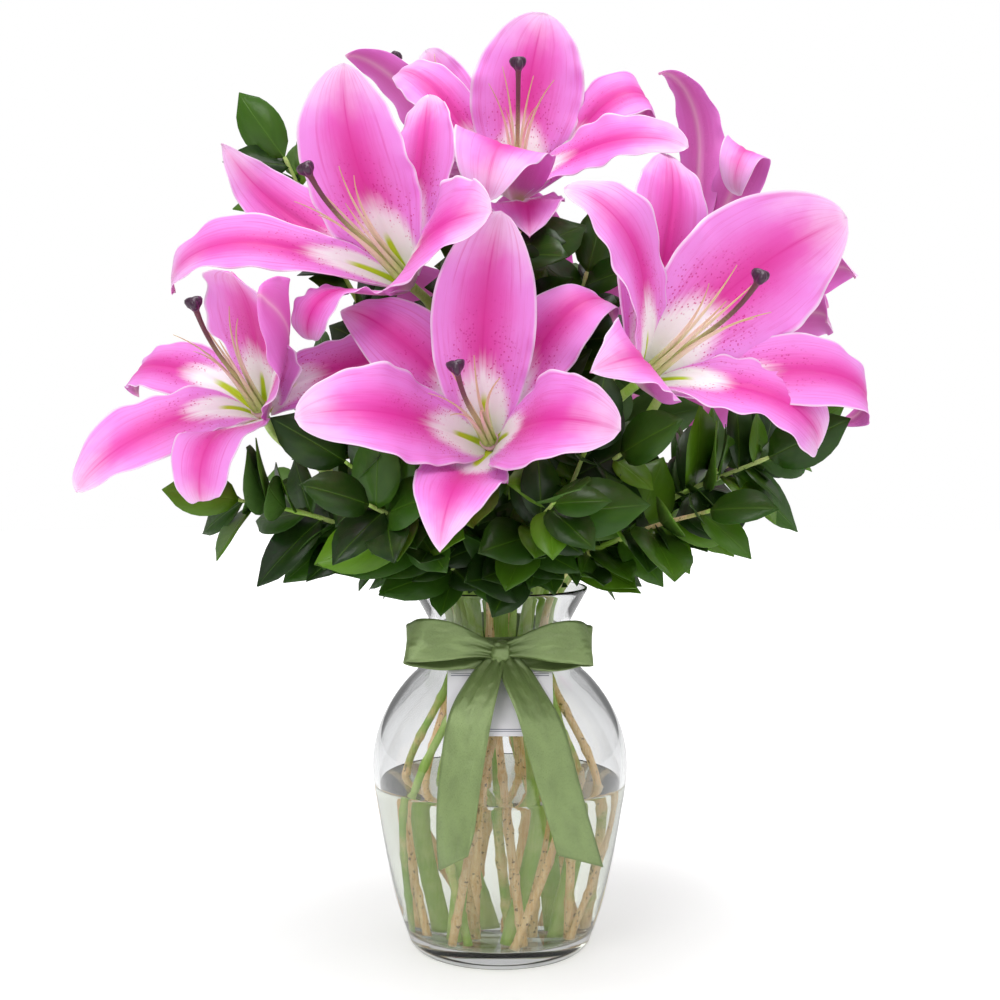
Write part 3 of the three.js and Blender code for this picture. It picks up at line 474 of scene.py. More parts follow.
# ---- pieces and materials -----------------------------------------------------------------------
def piece(name, surface, materials, nodes):
    """Puts a surface into a mesh object that rides on the body and stands for the nodes."""
    mesh = bpy.data.meshes.new(name)
    mesh.vertices.add(len(surface.points))
    mesh.vertices.foreach_set("co", (surface.points * MM).astype(np.float32).ravel())
    corners = np.where(surface.faces[:, 2] == surface.faces[:, 3], 3, 4)
    keep = np.arange(4) < corners[:, None]
    mesh.loops.add(int(corners.sum()))
    mesh.loops.foreach_set("vertex_index", surface.faces[keep].astype(np.int32))
    mesh.polygons.add(len(corners))
    mesh.polygons.foreach_set("loop_start", (np.cumsum(corners) - corners).astype(np.int32))
    mesh.polygons.foreach_set("material_index", surface.paint.astype(np.int32))
    mesh.update(calc_edges=True)
    mesh.polygons.foreach_set("use_smooth", ~surface.sharp)
    for layer, values in surface.layers.items():
        made = mesh.attributes.new(layer, "FLOAT", "POINT")
        made.data.foreach_set("value", values.astype(np.float32))
    for material in materials:
        mesh.materials.append(material)
    made = bpy.data.objects.new(name, mesh)
    bpy.context.scene.collection.objects.link(made)
    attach(made, "root")
    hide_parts(*nodes)
    return made


class Socket:
    """An output in a material. Operators on it add the Math node that they stand for."""

    def __init__(self, paint, link):
        self.paint = paint
        self.link = link

    def math(self, operation, *values):
        inputs = dict(enumerate(values))
        return self.paint.node("ShaderNodeMath", {"operation": operation}, inputs)

    def __add__(self, other):
        return self.math("ADD", self, other)

    def __sub__(self, other):
        return self.math("SUBTRACT", self, other)

    def __rsub__(self, other):
        return self.math("SUBTRACT", other, self)

    def __mul__(self, other):
        return self.math("MULTIPLY", self, other)

    def __truediv__(self, other):
        return self.math("DIVIDE", self, other)

    def __rtruediv__(self, other):
        return self.math("DIVIDE", other, self)

    __radd__, __rmul__ = __add__, __mul__

    def size(self):
        """The value without its sign."""
        return self.math("ABSOLUTE", self)

    def least(self, other):
        """The lesser of the two."""
        return self.math("MINIMUM", self, other)

    def most(self, other):
        """The greater of the two."""
        return self.math("MAXIMUM", self, other)

    def rise(self, low, high):
        """0 below low, 1 above high (or the reverse where low is the greater), and smooth between."""
        settings = {"interpolation_type": "SMOOTHSTEP"}
        inputs = {"Value": self, "From Min": low, "From Max": high}
        if low > high:
            inputs = {"Value": self, "From Min": high, "From Max": low, "To Min": 1.0, "To Max": 0.0}
        return self.paint.node("ShaderNodeMapRange", settings, inputs)

    def bell(self, width):
        """1 where the value is 0, falling off as 1 over 1 plus the square of value over width."""
        scaled = self / width
        return 1 / (1 + scaled * scaled)


class Paint:
    """A node material under construction."""

    def __init__(self, name, world=None):
        self.material = world or bpy.data.materials.new(name)
        self.material.use_nodes = True
        self.tree = self.material.node_tree
        self.tree.nodes.clear()

    def node(self, kind, settings=None, inputs=None, output=0):
        """Adds a node: its settings first, then its sockets' values or links."""
        made = self.tree.nodes.new(kind)
        for name, value in (settings or {}).items():
            setattr(made, name, value)
        for name, value in (inputs or {}).items():
            socket = made.inputs[name]
            if isinstance(value, Socket):
                self.tree.links.new(value.link, socket)
            else:
                wide = socket.type == "RGBA" and len(value) == 3
                socket.default_value = (*value, 1) if wide else value
        return Socket(self, made.outputs[output]) if made.outputs else None

    def layer(self, name):
        """A named value at the piece's points."""
        return self.node("ShaderNodeAttribute", {"attribute_name": name}, output="Fac")

    def mix(self, first, second, share):
        """The first colour with a share of the second: sockets 0, 6 and 7 of the node, and its output 2."""
        return self.node("ShaderNodeMix", {"data_type": "RGBA"}, {0: share, 6: first, 7: second}, output=2)

    def vector(self, x, y, z=0.0):
        """Three numbers as one vector."""
        return self.node("ShaderNodeCombineXYZ", None, {"X": x, "Y": y, "Z": z})

    def place(self):
        """The place on the object, in metres."""
        return self.node("ShaderNodeTexCoord", output="Object")

    def noise(self, vector, scale, detail=3.0, roughness=0.5):
        """Smooth noise about 0.5."""
        inputs = {"Vector": vector, "Scale": scale, "Detail": detail, "Roughness": roughness}
        return self.node("ShaderNodeTexNoise", None, inputs)

    def bump(self, height, distance, strength=1.0, before=None):
        """A relief of that height in metres, laid over the one before."""
        inputs = {"Height": height, "Distance": distance, "Strength": strength}
        if before:
            inputs["Normal"] = before
        return self.node("ShaderNodeBump", None, inputs)

    def finish(self, shader):
        """Joins the shader to the output, and gives the material."""
        self.node("ShaderNodeOutputMaterial", None, {"Surface": shader})
        return self.material

    def principled(self, **inputs):
        """A Principled shader, its sockets named with _ for a space."""
        named = {name.replace("_", " "): value for name, value in inputs.items()}
        return self.node("ShaderNodeBsdfPrincipled", None, named)


# ---- lilies -------------------------------------------------------------------------------------
def bloom_frame(name):
    """Where a bloom's stem meets it, with its axis, and its up and right as seen along the axis."""
    at, turn, lift, _ = BLOOMS[name]
    t, l = np.radians(turn), np.radians(lift)
    axis = np.array([np.sin(t) * np.cos(l), -np.cos(t) * np.cos(l), np.sin(l)])
    up = unit(UP - axis * axis[2])
    return np.array(at, float), axis, up, np.cross(up, axis)


def tepal_midline(name, tepal, full_length, rows):
    """A tepal's midline, with the directions across it and towards its inner face. It leans from the
    throat's angle out to the flare and then by the curl, and sways aside in proportion to the way along."""
    kind, clock, flare, curl, _, _, sway = tepal
    base, axis, up, right = bloom_frame(name)
    c = np.radians(clock)
    out, side = up * np.cos(c) + right * np.sin(c), right * np.cos(c) - up * np.sin(c)
    s = np.linspace(0, 1, rows)
    lean = kind["throat"] + 0.92 * (flare - kind["throat"]) * smooth(s / 0.4)
    lean = np.radians(lean + curl * np.maximum(0, (s - 0.45) / 0.55) ** 1.5)[:, None]
    bend = np.radians(sway * s)[:, None]
    straight = axis * np.cos(lean) + out * np.sin(lean)
    way = straight * np.cos(bend) + side * np.sin(bend)
    middle = (way[1:] + way[:-1]) / 2 * full_length / (rows - 1)
    line = np.concatenate([np.zeros((1, 3)), np.cumsum(middle, axis=0)])
    line += (way - way[0]) * full_length / (2 * SOLID_STEPS)
    line += base + out * kind["start"] + axis * CUP_HEIGHT / 3
    across = side * np.cos(bend) - straight * np.sin(bend)
    return line, across, axis * np.sin(lean) - out * np.cos(lean)


def tepal_half_width(kind, full_width, s):
    """Half of a tepal's width along it: the sine of a power of the way along, which peaks where the tepal
    is widest, taken to one power below there and to another above."""
    power = np.log(0.5) / np.log(kind["widest"])
    swell = np.maximum(np.sin(np.pi * np.minimum(0.04 + 0.96 * s, 1) ** power), 0)
    swell = swell ** np.where(s < kind["widest"], kind["base"], kind["blunt"])
    return full_width / 2 * np.maximum(0.012, swell)


def tepal_lift(kind, half, s, t, clock, tone, ruffle):
    """How far a tepal rises from flat. Its edges rise as a square and wave as a cube of the distance from
    the midrib, with ruffles as a fifth power, and a furrow runs between two low ridges along the midrib."""
    edge, aside = np.abs(t), half * t
    turn = clock / 97 + np.where(t > 0, 0.4, 0)
    lift = kind["cup"] * t**2 + 0.09 * np.sin(TAU * (2.2 * s + turn)) * edge**3 * smooth(3 * s)
    lift = half * lift
    waves = (5.5 if kind is PETAL else 6.5) + 1.5 * tone
    calm = smooth((s - 0.12) / 0.25) * smooth((1.02 - s) / 0.2)
    slow = 0.6 + 0.4 * np.sin(TAU * (1.3 * s + 2 * turn + tone))
    lift = lift + ruffle * slow * calm * edge**5 * np.sin(TAU * (waves * s + 3 * turn + tone))
    rib = smooth(1.15 - s) * smooth(s / 0.06)
    lift = lift - 1.1 * rib * bump_at(aside, 0, 1.5) + 0.35 * rib * bump_at(np.abs(aside), 3.4, 1.6)
    lift = lift + 0.12 * np.sin(aside * 1.5 + 3 * s) * (1 - edge) * smooth(s / 0.2)
    tip = smooth((s - 0.93) / 0.07)
    return lift - 1.4 * tip * (1 - edge)


def tepal_surface(name, number, grid, looks):
    """A tepal: across its midline at each step, its width on both sides, lifted from flat. It thins as the
    square of the distance from the midrib and towards its tip."""
    tepal = BLOOMS[name][3][number]
    kind, clock, _, _, long, wide, _ = tepal
    broad = kind is PETAL
    full_length = (looks.petal_length if broad else looks.sepal_length) / MM * long
    full_width = (looks.petal_width if broad else looks.sepal_width) / MM * wide
    ruffle = looks.ruffle / MM * (1.0 if broad else 0.75)
    rows, columns = grid
    line, across, inner = tepal_midline(name, tepal, full_length, rows)
    s = np.linspace(0, 1, rows)[:, None]
    t = np.linspace(-1, 1, columns)[None]
    half = tepal_half_width(kind, full_width, s)
    tone = draw(number, clock, len(name))
    lift = tepal_lift(kind, half, s, t, clock, tone, ruffle)
    aside, edge = half * t, np.abs(t)
    points = line[:, None] + across[:, None] * aside[..., None] + inner[:, None] * lift[..., None]
    body = looks.thickness / MM * (1.25 - 0.9 * edge**2) * (1.25 - 0.5 * s)
    body = np.minimum(body, 1.2 * half * (1.02 - edge) + 0.12)
    along = s * np.ones_like(t)
    return blade(
        points, body, along=along, across=t * np.ones_like(s), reach=along * full_length, aside=aside,
        tone=np.full(points.shape[:2], tone),
    )


def cup_surface(name):
    """The cup under the tepals: a rounded profile turned round the bloom's axis, with six low ridges."""
    base, axis, up, right = bloom_frame(name)
    height = np.array([-0.15, 0.6, 2.2, 4.5, 6.2, CUP_HEIGHT - 0.3])
    radius = np.array([2.2, 3.6, 4.7, 5.2, 5.4, 4.6])
    turn = np.arange(24) * TAU / 24
    ridge = 1 + 0.05 * np.cos(6 * turn)
    around = np.cos(turn)[:, None] * up + np.sin(turn)[:, None] * right
    rings = base + axis * height[:, None, None] + around * (radius[:, None] * ridge)[..., None]
    return closed_tube(rings)


def tepal_paint(looks):
    """Pink, deepest beside the midrib and palest at the edge, over a white throat with a green furrow and
    magenta freckles. Veins run aslant from the midrib, and the outer face is duller with a pale keel."""
    paint = Paint("lily_petal")
    s, t = paint.layer("along"), paint.layer("across").size()
    reach, aside = paint.layer("reach"), paint.layer("aside")
    tone, inner = paint.layer("tone"), paint.layer("inner")
    far = aside.size()
    veins = paint.noise(paint.vector(t * 15.0 - s * 2.5, s * 2.2, tone * 31), 1.0, 4.0, 0.65)
    cloud = paint.noise(paint.vector(aside * 0.06, reach * 0.04, tone * 57), 1.0, 3.0)
    grain = veins - 0.5
    drift = cloud - 0.5
    edge_pale = (t + grain * 0.35 + drift * 0.5).rise(0.10, 0.80)
    shade = paint.mix(looks.middle, looks.pale, edge_pale)
    shade = paint.mix(shade, looks.margin, (s + drift * 0.3).rise(0.70, 1.05) * 0.6)
    heart = (t + grain * 0.2).bell(0.32) * (s + drift * 0.2).rise(0.22, 0.45) * s.rise(1.0, 0.60)
    shade = paint.mix(shade, looks.deep, heart.least(1.0) * 0.85)
    shade = paint.mix(shade, looks.deep, (grain * 2.2).most(0.0).least(0.4))
    line = far.bell(0.45) * s.rise(0.22, 0.4) * s.rise(1.0, 0.8)
    shade = paint.mix(shade, looks.deep, line * 0.75)
    ray = t * t * 1.1 + (s + grain * 0.12 + drift * 0.12) / 0.37
    white = ray.rise(1.25, 0.78)
    shade = paint.mix(shade, looks.throat, white)
    wedge = (far + s * 6 - 2.9).rise(0.8, -0.4) * s.rise(0.25, 0.18)
    shade = paint.mix(shade, looks.nectary, wedge)
    spots = paint.node(
        "ShaderNodeTexVoronoi", None,
        {"Vector": paint.vector(aside * 0.62, reach * 0.46, tone * 97), "Scale": 1.0, "Randomness": 0.9},
        output="Distance",
    )
    chance = paint.noise(paint.vector(aside * 0.5, reach * 0.4, tone * 13), 1.0, 1.0)
    band = ray.rise(0.62, 1.0) * ray.rise(1.95, 1.4) * t.rise(0.95, 0.8) * (far - 1.5).rise(0.0, 2.0)
    dots = spots.rise(0.30, 0.20) * chance.rise(0.36, 0.50) * band
    shade = paint.mix(shade, looks.freckle, dots * 0.75)
    rim = (t + grain * 0.04).rise(0.93, 1.0) * 0.8 + s.rise(0.96, 1.0) * 0.5
    shade = paint.mix(shade, looks.margin, rim.least(1.0))
    keel = far.bell(1.3) * 0.6
    back = paint.mix(looks.outside, looks.pale, (t + grain * 0.5).rise(0.3, 1.1) * 0.5)
    back = paint.mix(back, looks.outside_rib, keel)
    back = paint.mix(back, looks.outside_rib, s.rise(0.2, 0.04))
    shade = paint.mix(back, shade, inner.rise(0.3, 0.7))
    relief = paint.bump(veins, 0.0006, 0.35)
    relief = paint.bump(dots, 0.0007, 0.6, relief)
    # The tepals glow a little in their own colour (Emission 0.06). This is painted light: it lifts the shaded
    # throat and stands in for light that shines through the thin tepals.
    return paint.finish(paint.principled(
        Base_Color=shade, Roughness=0.45 + grain * 0.2, Normal=relief, Specular_IOR_Level=0.3,
        Subsurface_Weight=0.15, Subsurface_Radius=(1.0, 0.7, 0.9), Subsurface_Scale=0.002,
        Emission_Color=shade, Emission_Strength=0.06,
    ))


# ---- lily centres -------------------------------------------------------------------------------
def pistil_surface(root, axis, up, looks):
    """The disc, ovary, style and three-lobed stigma: a tube along a line that bows as s^2 (s - 1), with six
    ribs on the ovary and three lobes at the end, as cosines round it."""
    sides = 18
    end = looks.style_length / MM
    # Heights above the disc's foot, and the pistil's radius there.
    marks = np.array([
        (0.0, 4.4), (0.5, 4.5), (1.2, 4.3), (1.7, 2.1), (3, 2.1), (12, 2.2), (21, 2.0), (26, 1.5), (40, 1.25),
        (70, 1.25), (end - 8, 1.35), (end - 2, 1.6), (end - 0.6, 2.4), (end + 0.6, 3.5), (end + 2.4, 4.0),
        (end + 4.0, 3.6), (end + 5.1, 2.4), (end + 5.5, 0.9),
    ])
    height = np.concatenate([marks[:8, 0], np.linspace(28, end - 10, 22), marks[10:, 0]])
    radius = np.interp(height, marks[:, 0], marks[:, 1])
    s = np.maximum(0, (height - 2) / end)
    line = root + axis * height[:, None] + up * (looks.bow / MM * 6.75 * s * s * (s - 1))[:, None]
    around = np.arange(sides) * TAU / sides
    knob = smooth((height - end + 1.5) / 2)[:, None]
    ribs = smooth((height - 1.6) / 1.5)[:, None] * (1 - smooth((height - 18) / 8))[:, None]
    lobe = 1 + 0.06 * ribs * np.cos(6 * around)
    lobe = lobe + knob * (0.34 * np.cos(3 * around) + 0.05 * np.cos(9 * around))
    ripe = smooth((height - end + 1.5) / 2.2)
    return tube(line, radius, sides, 0, lobe, along=height / end, ripe=ripe)


def filament_surface(root, axis, up, right, turn, k, looks):
    """One of the six filaments: an oval tube that stands close by the style below, leans out as the square
    of the way along it and thins towards its cut end."""
    steps, sides = 26, 8
    a = np.radians(60 * k + 30 + turn)
    out = up * np.cos(a) + right * np.sin(a)
    side = np.cross(axis, out)
    s = np.linspace(0, 1, steps)
    own = draw(k, turn, 3)
    lean = np.radians(1 + (29 + 10 * (own - 0.5)) * s**2)[:, None]
    drift = np.radians((draw(k, turn, 5) - 0.5) * 26) * s[:, None] ** 2
    way = axis * np.cos(lean) + (out * np.cos(drift) + side * np.sin(drift)) * np.sin(lean)
    reach = looks.filament_length / MM * (0.9 + 0.16 * draw(k, turn, 7))
    line = np.concatenate([np.zeros((1, 3)), np.cumsum((way[1:] + way[:-1]) / 2, axis=0)])
    line = root + axis * 0.56 + out * 3.1 + line * reach / (steps - 1)
    radius = 0.16 + 1.45 * (1 - s) ** 1.1
    oval = 1 + 0.22 * np.cos(2 * np.arange(sides) * TAU / sides)
    return tube(line, radius, sides, 1, oval[None], along=s, ripe=s * 0)


def centre_surface(name, looks):
    """A lily's pistil and its six filaments."""
    base, axis, up, right = bloom_frame(name)
    turn = BLOOMS[name][1]
    root = base + axis * (CUP_HEIGHT + 2 * GAP)
    filaments = [filament_surface(root, axis, up, right, turn, k, looks) for k in range(6)]
    return joined([pistil_surface(root, axis, up, looks), *filaments])


def centre_paints(looks):
    """The pistil, green below and brown towards its dark stigma, and the filaments, green to straw."""
    pistil = Paint("pistil")
    s, ripe = pistil.layer("along"), pistil.layer("ripe")
    speck = pistil.noise(pistil.place(), 900.0, 2.0)
    shade = pistil.mix(looks.style_base, looks.style_top, (s + speck * 0.2).rise(0.45, 0.95))
    shade = pistil.mix(shade, looks.stigma, ripe)
    relief = pistil.bump(speck, 0.0004, 0.5)
    pistil.finish(pistil.principled(
        Base_Color=shade, Roughness=0.45 - ripe * 0.15, Normal=relief, Subsurface_Weight=0.08,
        Subsurface_Radius=(0.6, 0.8, 0.3), Subsurface_Scale=0.001,
    ))
    thread = Paint("filament")
    s = thread.layer("along")
    pale = thread.mix(looks.filament_foot, looks.filament_middle, s.rise(0.05, 0.50))
    shade = thread.mix(pale, looks.filament, s.rise(0.45, 1.0))
    relief = thread.bump(thread.noise(thread.place(), 1200.0, 1.0), 0.0002, 0.4)
    thread.finish(thread.principled(
        Base_Color=shade, Roughness=0.5, Normal=relief, Subsurface_Weight=0.15,
        Subsurface_Radius=(0.8, 0.7, 0.3), Subsurface_Scale=0.001,
    ))
    return pistil.material, thread.material


# ---- stems --------------------------------------------------------------------------------------
def polar(radius, angle, z):
    """The point at that radius, angle in degrees and height."""
    a = np.radians(angle)
    return np.array([radius * np.cos(a), radius * np.sin(a), z])


def inside_vase(ring, angle):
    """The points that a stem passes inside the vase: its cut foot, the belly and the neck."""
    neck, belly, foot, twist = ring
    share = (NECK - BELLY) / (NECK - FOOT)
    return (
        polar(foot, angle + twist, FOOT),
        polar(belly, angle + twist * share, BELLY),
        polar(neck, angle, NECK),
    )


def solid_line(ring, angle, through, count):
    """The corners of a stem's solid: its foot, the belly, and the curve on from the neck."""
    foot, belly, neck = inside_vase(ring, angle)
    share = 1 / (len(through) + 1)
    upper = spline([belly, neck, *through], share + (1 - share) * np.arange(count + 1) / count)
    return np.concatenate([[foot, belly], upper])


def fine_line(ring, angle, through, step=3.0):
    """The same stem as one smooth line, in even steps of about that length."""
    line = spline([*inside_vase(ring, angle), *through], np.linspace(0, 1, 200))
    return even(line, int(run_of(line)[-1] / step))


def knobs(height, spacing, own, share):
    """How much a stem swells at its joints: a bell each `spacing` mm, of that share of the radius."""
    phase = (height / spacing + own) % 1
    return 1 + share * np.exp(-(((phase - 0.5) * spacing / 2.6) ** 2))


def pedicel(name):
    """The last two points of a lily's stem, which come up straight under the bloom."""
    base, axis, _, _ = bloom_frame(name)
    return [base - axis * 24, base - axis * GAP]


def lily_stem_surface(index):
    """A lily's stem: a round tube from its foot to the bloom, thicker below, with faint joints, and a
    thinner one without joints for its branch."""
    angle, through, bloom, branch = LILY_STEMS[index]
    line = fine_line(LILY_RING, angle, [*through, *pedicel(bloom)])
    run = run_of(line)
    share = np.clip((run - 160) / (run[-1] - 160), 0, 1)
    flare = smooth((run - run[-1] + 9) / 9)
    radius = LILY_STEM_FOOT - (LILY_STEM_FOOT - LILY_STEM_TOP) * share
    radius = radius * knobs(run, 38, draw(index, 0, 1), 0.06) + 0.2 * flare
    own = np.full(len(line), draw(index, 1, 2) * 0.25)
    parts = [tube(line, radius, 16, 0, along=run, woody=own)]
    if branch:
        way = [through[0], *branch[0], *pedicel(branch[1])]
        line = even(spline(way, np.linspace(0, 1, 60)), 50)
        run = run_of(line)
        flare = smooth((run - run[-1] + 9) / 9)
        radius = np.interp(run, [0, run[-1]], [LILY_STEM_FORK, LILY_STEM_TOP]) + 0.2 * flare
        parts.append(tube(line, radius, 14, 0, along=run, woody=np.full(len(line), own[0])))
    return joined(parts)


def stem_paint(looks):
    """Smooth green, or tan bark with dark specks where `woody` is high, with fine lengthwise grain."""
    paint = Paint("stem")
    woody, place = paint.layer("woody"), paint.place()
    spread = paint.noise(place, 60.0, 3.0)
    stretched = paint.node("ShaderNodeMapping", None, {"Vector": place, "Scale": (900.0, 900.0, 60.0)})
    grain = paint.noise(stretched, 1.0, 3.0, 0.6)
    speck = paint.noise(place, 420.0, 2.0).rise(0.60, 0.70)
    green = paint.mix(looks.green_stem, looks.pale_stem, (spread + grain * 0.4).rise(0.45, 0.95))
    bark = paint.mix(looks.bark, looks.pale_bark, (grain + spread * 0.5).rise(0.5, 1.0))
    bark = paint.mix(bark, looks.speck, speck * 0.75)
    shade = paint.mix(green, bark, (woody + (spread - 0.5) * 0.5).rise(0.42, 0.62))
    relief = paint.bump(grain + speck * 0.4, 0.0006, 0.5)
    # The stems glow a little in their own colour (Emission 0.10). This is painted light: it brightens them,
    # most of all inside the glass and water, where little light reaches them.
    return paint.finish(paint.principled(
        Base_Color=shade, Roughness=0.42 + woody * 0.2, Normal=relief,
        Emission_Color=shade, Emission_Strength=0.10,
    ))


# ---- greens -------------------------------------------------------------------------------------
def leaf_pose(index, k, corners, bend, between=0.0):
    """Where leaf k of a stem grows and how it lies when it takes a bend. `between` moves it down the stem
    by that share of the spacing, for the smaller leaves that the solid leaves out."""
    _, _, _, leaves, face = LEAFY_STEMS[index]
    back = max((k + between) * LEAF_SPACING * (0.85 + 0.3 * draw(index, k, 0)), 0.4)
    i = len(corners) - 1
    while i > 1 and back > np.linalg.norm(corners[i] - corners[i - 1]):
        back -= np.linalg.norm(corners[i] - corners[i - 1])
        i -= 1
    stem = unit(corners[i] - corners[i - 1])
    root = corners[i] - stem * back
    side = unit(np.cross(UP, stem))
    over = np.cross(stem, side)
    use = 50 * between
    around = (0 if k % 2 else 180) + 24 + 40 * (draw(index, k, 1 + use) - 0.5) * 2 + bend[0]
    around = np.radians(around + (360 * draw(index, k, 6 + use) if use else 0))
    tip = k == 0 and not use
    off = np.radians(12 + bend[1] if tip else 50 + 14 * draw(index, k, 2 + use) + bend[1])
    out = side * np.cos(around) + over * np.sin(around)
    way = stem * np.cos(off) + out * np.sin(off)
    light = np.array([
        root[0] * LEAF_OUTWARD + face[0] + 0.5 * (draw(index, k, 3 + use) - 0.5),
        root[1] * LEAF_OUTWARD + face[1] + 0.5 * (draw(index, k, 4 + use) - 0.5),
        face[2],
    ])
    normal = unit(light - way * (light @ way))
    age = 0.9 if k == 0 or k > leaves - 3 else 1.0
    size = bend[2] * (0.86 + 0.28 * draw(index, k, 5 + use)) * age
    if use:
        size *= 0.62 + 0.35 * draw(index, k, 7 + use)
    return root, way, normal, size


def leaf_surface(pose, looks, tone):
    """A leaf: its half width is a power of a sine that peaks at 0.45 and draws out to a point, folded along
    the midrib, drooping as the square of the way along it, with a slight wave along its edges."""
    rows, columns = LEAF_GRID
    root, way, normal, size = pose
    long, half_wide = looks.leaf_length / MM * size, looks.leaf_width / MM * size / 2
    side = np.cross(way, normal)
    s = np.linspace(0, 1, rows)[:, None]
    t = np.linspace(-1, 1, columns)[None]
    point, stalk = 1 - 0.42 * smooth((s - 0.74) / 0.26), 0.05 * (1 - s) ** 8
    half = half_wide * (np.sin(np.pi * s**0.87) ** 0.68 * point + 0.015 + stalk)
    wave = 0.035 * np.sin(TAU * (1.4 * s + tone * 3) + np.where(t > 0, 1.3, 0)) * np.abs(t) ** 2
    lift = half * (0.20 * np.abs(t) * (1 - 0.4 * s)) + half_wide * wave - 0.12 * long * s**2
    sway = 0.05 * (tone - 0.5) * long * s**2
    grid = (
        root
        + way * (long * s)[..., None]
        + side * (half * t + sway)[..., None]
        + normal * lift[..., None]
    )
    body = np.broadcast_to(looks.leaf_thickness / MM * (1.0 - 0.75 * np.abs(t) ** 2), grid.shape[:2])
    ones = np.ones_like(half * t)
    return blade(
        grid, body, 1, along=s * ones, across=t * ones, reach=s * long * ones, aside=half * t,
        tone=tone * ones,
    )


class Room:
    """Which small cubes of space are taken, so that leaves can be kept out of each other and the lilies."""

    SIZE = 3.0

    def __init__(self, low, high):
        self.low = np.array(low)
        self.taken = np.zeros(np.ceil((np.array(high) - self.low) / self.SIZE).astype(int), bool)

    def cells(self, points):
        """The cubes that the points lie in."""
        cells = ((points.reshape(-1, 3) - self.low) / self.SIZE).astype(int)
        return tuple(np.clip(cells, 0, np.array(self.taken.shape) - 1).T)

    def take(self, points):
        """Marks the cubes that the points lie in as taken."""
        self.taken[self.cells(points)] = True

    def crowding(self, points):
        """The share of the points that lie in taken cubes."""
        return self.taken[self.cells(points)].mean()


def own_bend(index, k, corners, vertices, looks):
    """The bend that the solid's leaf took: the first whose tip is among the vertices of its node, or
    None where the solid has no such leaf."""
    for bend in BENDS:
        root, way, normal, size = leaf_pose(index, k, corners, bend)
        long = looks.leaf_length / MM * size
        tip = root + way * long + normal * (looks.leaf_thickness / MM / 2 - 0.12 * long)
        if np.linalg.norm(vertices - tip, axis=1).min() < 0.05:
            return bend
    return None


def settle(pose, line):
    """The pose moved onto the nearest point of the smooth stem."""
    root, way, normal, size = pose
    nearest = line[np.linalg.norm(line - root, axis=1).argmin()]
    return nearest, way, normal, size


def clear_of_glass(points):
    """Whether the points keep off the vase: above its rim, well outside it, or inside its neck."""
    radius = np.hypot(points[:, 0], points[:, 1])
    height = points[:, 2]
    inside = (radius < radius_at(VASE_INSIDE[:4], height) - 1.5) & (height > NECK)
    return np.all((height > RIM + 1.5) | (radius > 55) | inside)


def collar_pose(index, k, attempt, line):
    """How a small leaf low on a stem lies that hangs outwards and aside over the vase's rim."""
    own = [draw(index, k, 60 + 7 * attempt + use) for use in range(7)]
    root = line[np.abs(line[:, 2] - (RIM + 8 + 34 * own[0])).argmin()]
    out = unit(np.array([root[0], root[1], 0]))
    way = unit(0.7 * out + 2.4 * (own[1] - 0.5) * np.cross(UP, out) + (0.5 * own[2] - 0.6) * UP)
    light = out * 1.3 + UP * 0.8 + np.array([own[3] - 0.5, own[4] - 0.8, 0])
    return root, way, unit(light - way * (light @ way)), 0.5 + 0.35 * own[5]


def node_vertices(name):
    """The vertices of a node of the frame, in mm."""
    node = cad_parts[name].data
    vertices = np.empty(len(node.vertices) * 3, np.float32)
    node.vertices.foreach_get("co", vertices)
    return vertices.reshape(-1, 3) / MM


def fitted(poses, tone, looks, petals, room, most):
    """The leaf in the first pose that is clear of the petals and the glass and has less than `most` of its
    points in taken cubes, in a list that is empty where no pose is."""
    for pose in poses:
        leaf = leaf_surface(pose, looks, tone)
        free = petals.crowding(leaf.points) == 0 and room.crowding(leaf.points[LEAF_FOOT:]) < most
        if free and clear_of_glass(leaf.points):
            room.take(leaf.points)
            return [leaf]
    return []


def leafy_stem_surfaces(looks, lilies):
    """All the leafy stems. The leaves of the solids stand where they stand there. Finer ones fill the stem
    between them and down to the rim, and small ones hang over it, each where it first finds room."""
    room = Room((-260, -220, 0), (260, 220, 600))
    petals = Room((-260, -220, 0), (260, 220, 600))
    petals.take(lilies)
    surfaces = []
    plans = []
    for index, (ring, angle, through, leaves, _) in enumerate(LEAFY_STEMS):
        corners = solid_line(ring, angle, through, len(through) + 1)
        line = fine_line(ring, angle, through)
        vertices = node_vertices(f"leafy_stem_{index + 1}")
        parts = []
        for k in range(leaves):
            bend = own_bend(index, k, corners, vertices, looks)
            if bend is not None:
                pose = settle(leaf_pose(index, k, corners, bend), line)
                parts.append(leaf_surface(pose, looks, draw(index, k, 9)))
                room.take(parts[-1].points)
        plans.append((corners, line, parts))
    for index, (corners, line, parts) in enumerate(plans):
        above = line[line[:, 2] > RIM + 3]
        count = int(run_of(above)[-1] / LEAF_SPACING) if len(above) > 1 else 0
        for k in range(count):
            for between in BETWEEN:
                poses = (settle(leaf_pose(index, k, corners, bend, between), line) for bend in BENDS)
                parts += fitted(poses, draw(index, k, 11 + between), looks, petals, room, 0.12)
        for k in range(COLLAR_LEAVES):
            poses = (collar_pose(index, k, attempt, line) for attempt in range(COLLAR_TRIES))
            parts += fitted(poses, 0.8 * draw(index, k, 59), looks, petals, room, 0.15)
        run = run_of(line)
        woody = 0.75 * draw(index, 2, 2) + 0.35 * (1 - smooth((line[:, 2] - 60) / 150))
        radius = np.interp(run, [0, 180, run[-1]], LEAFY_STEM_RADII)
        radius = radius * knobs(run, 27, draw(index, 3, 3), 0.30)
        stem = tube(line, radius, 12, 0, along=run, woody=woody)
        surfaces.append(joined([stem, *parts]))
    return surfaces


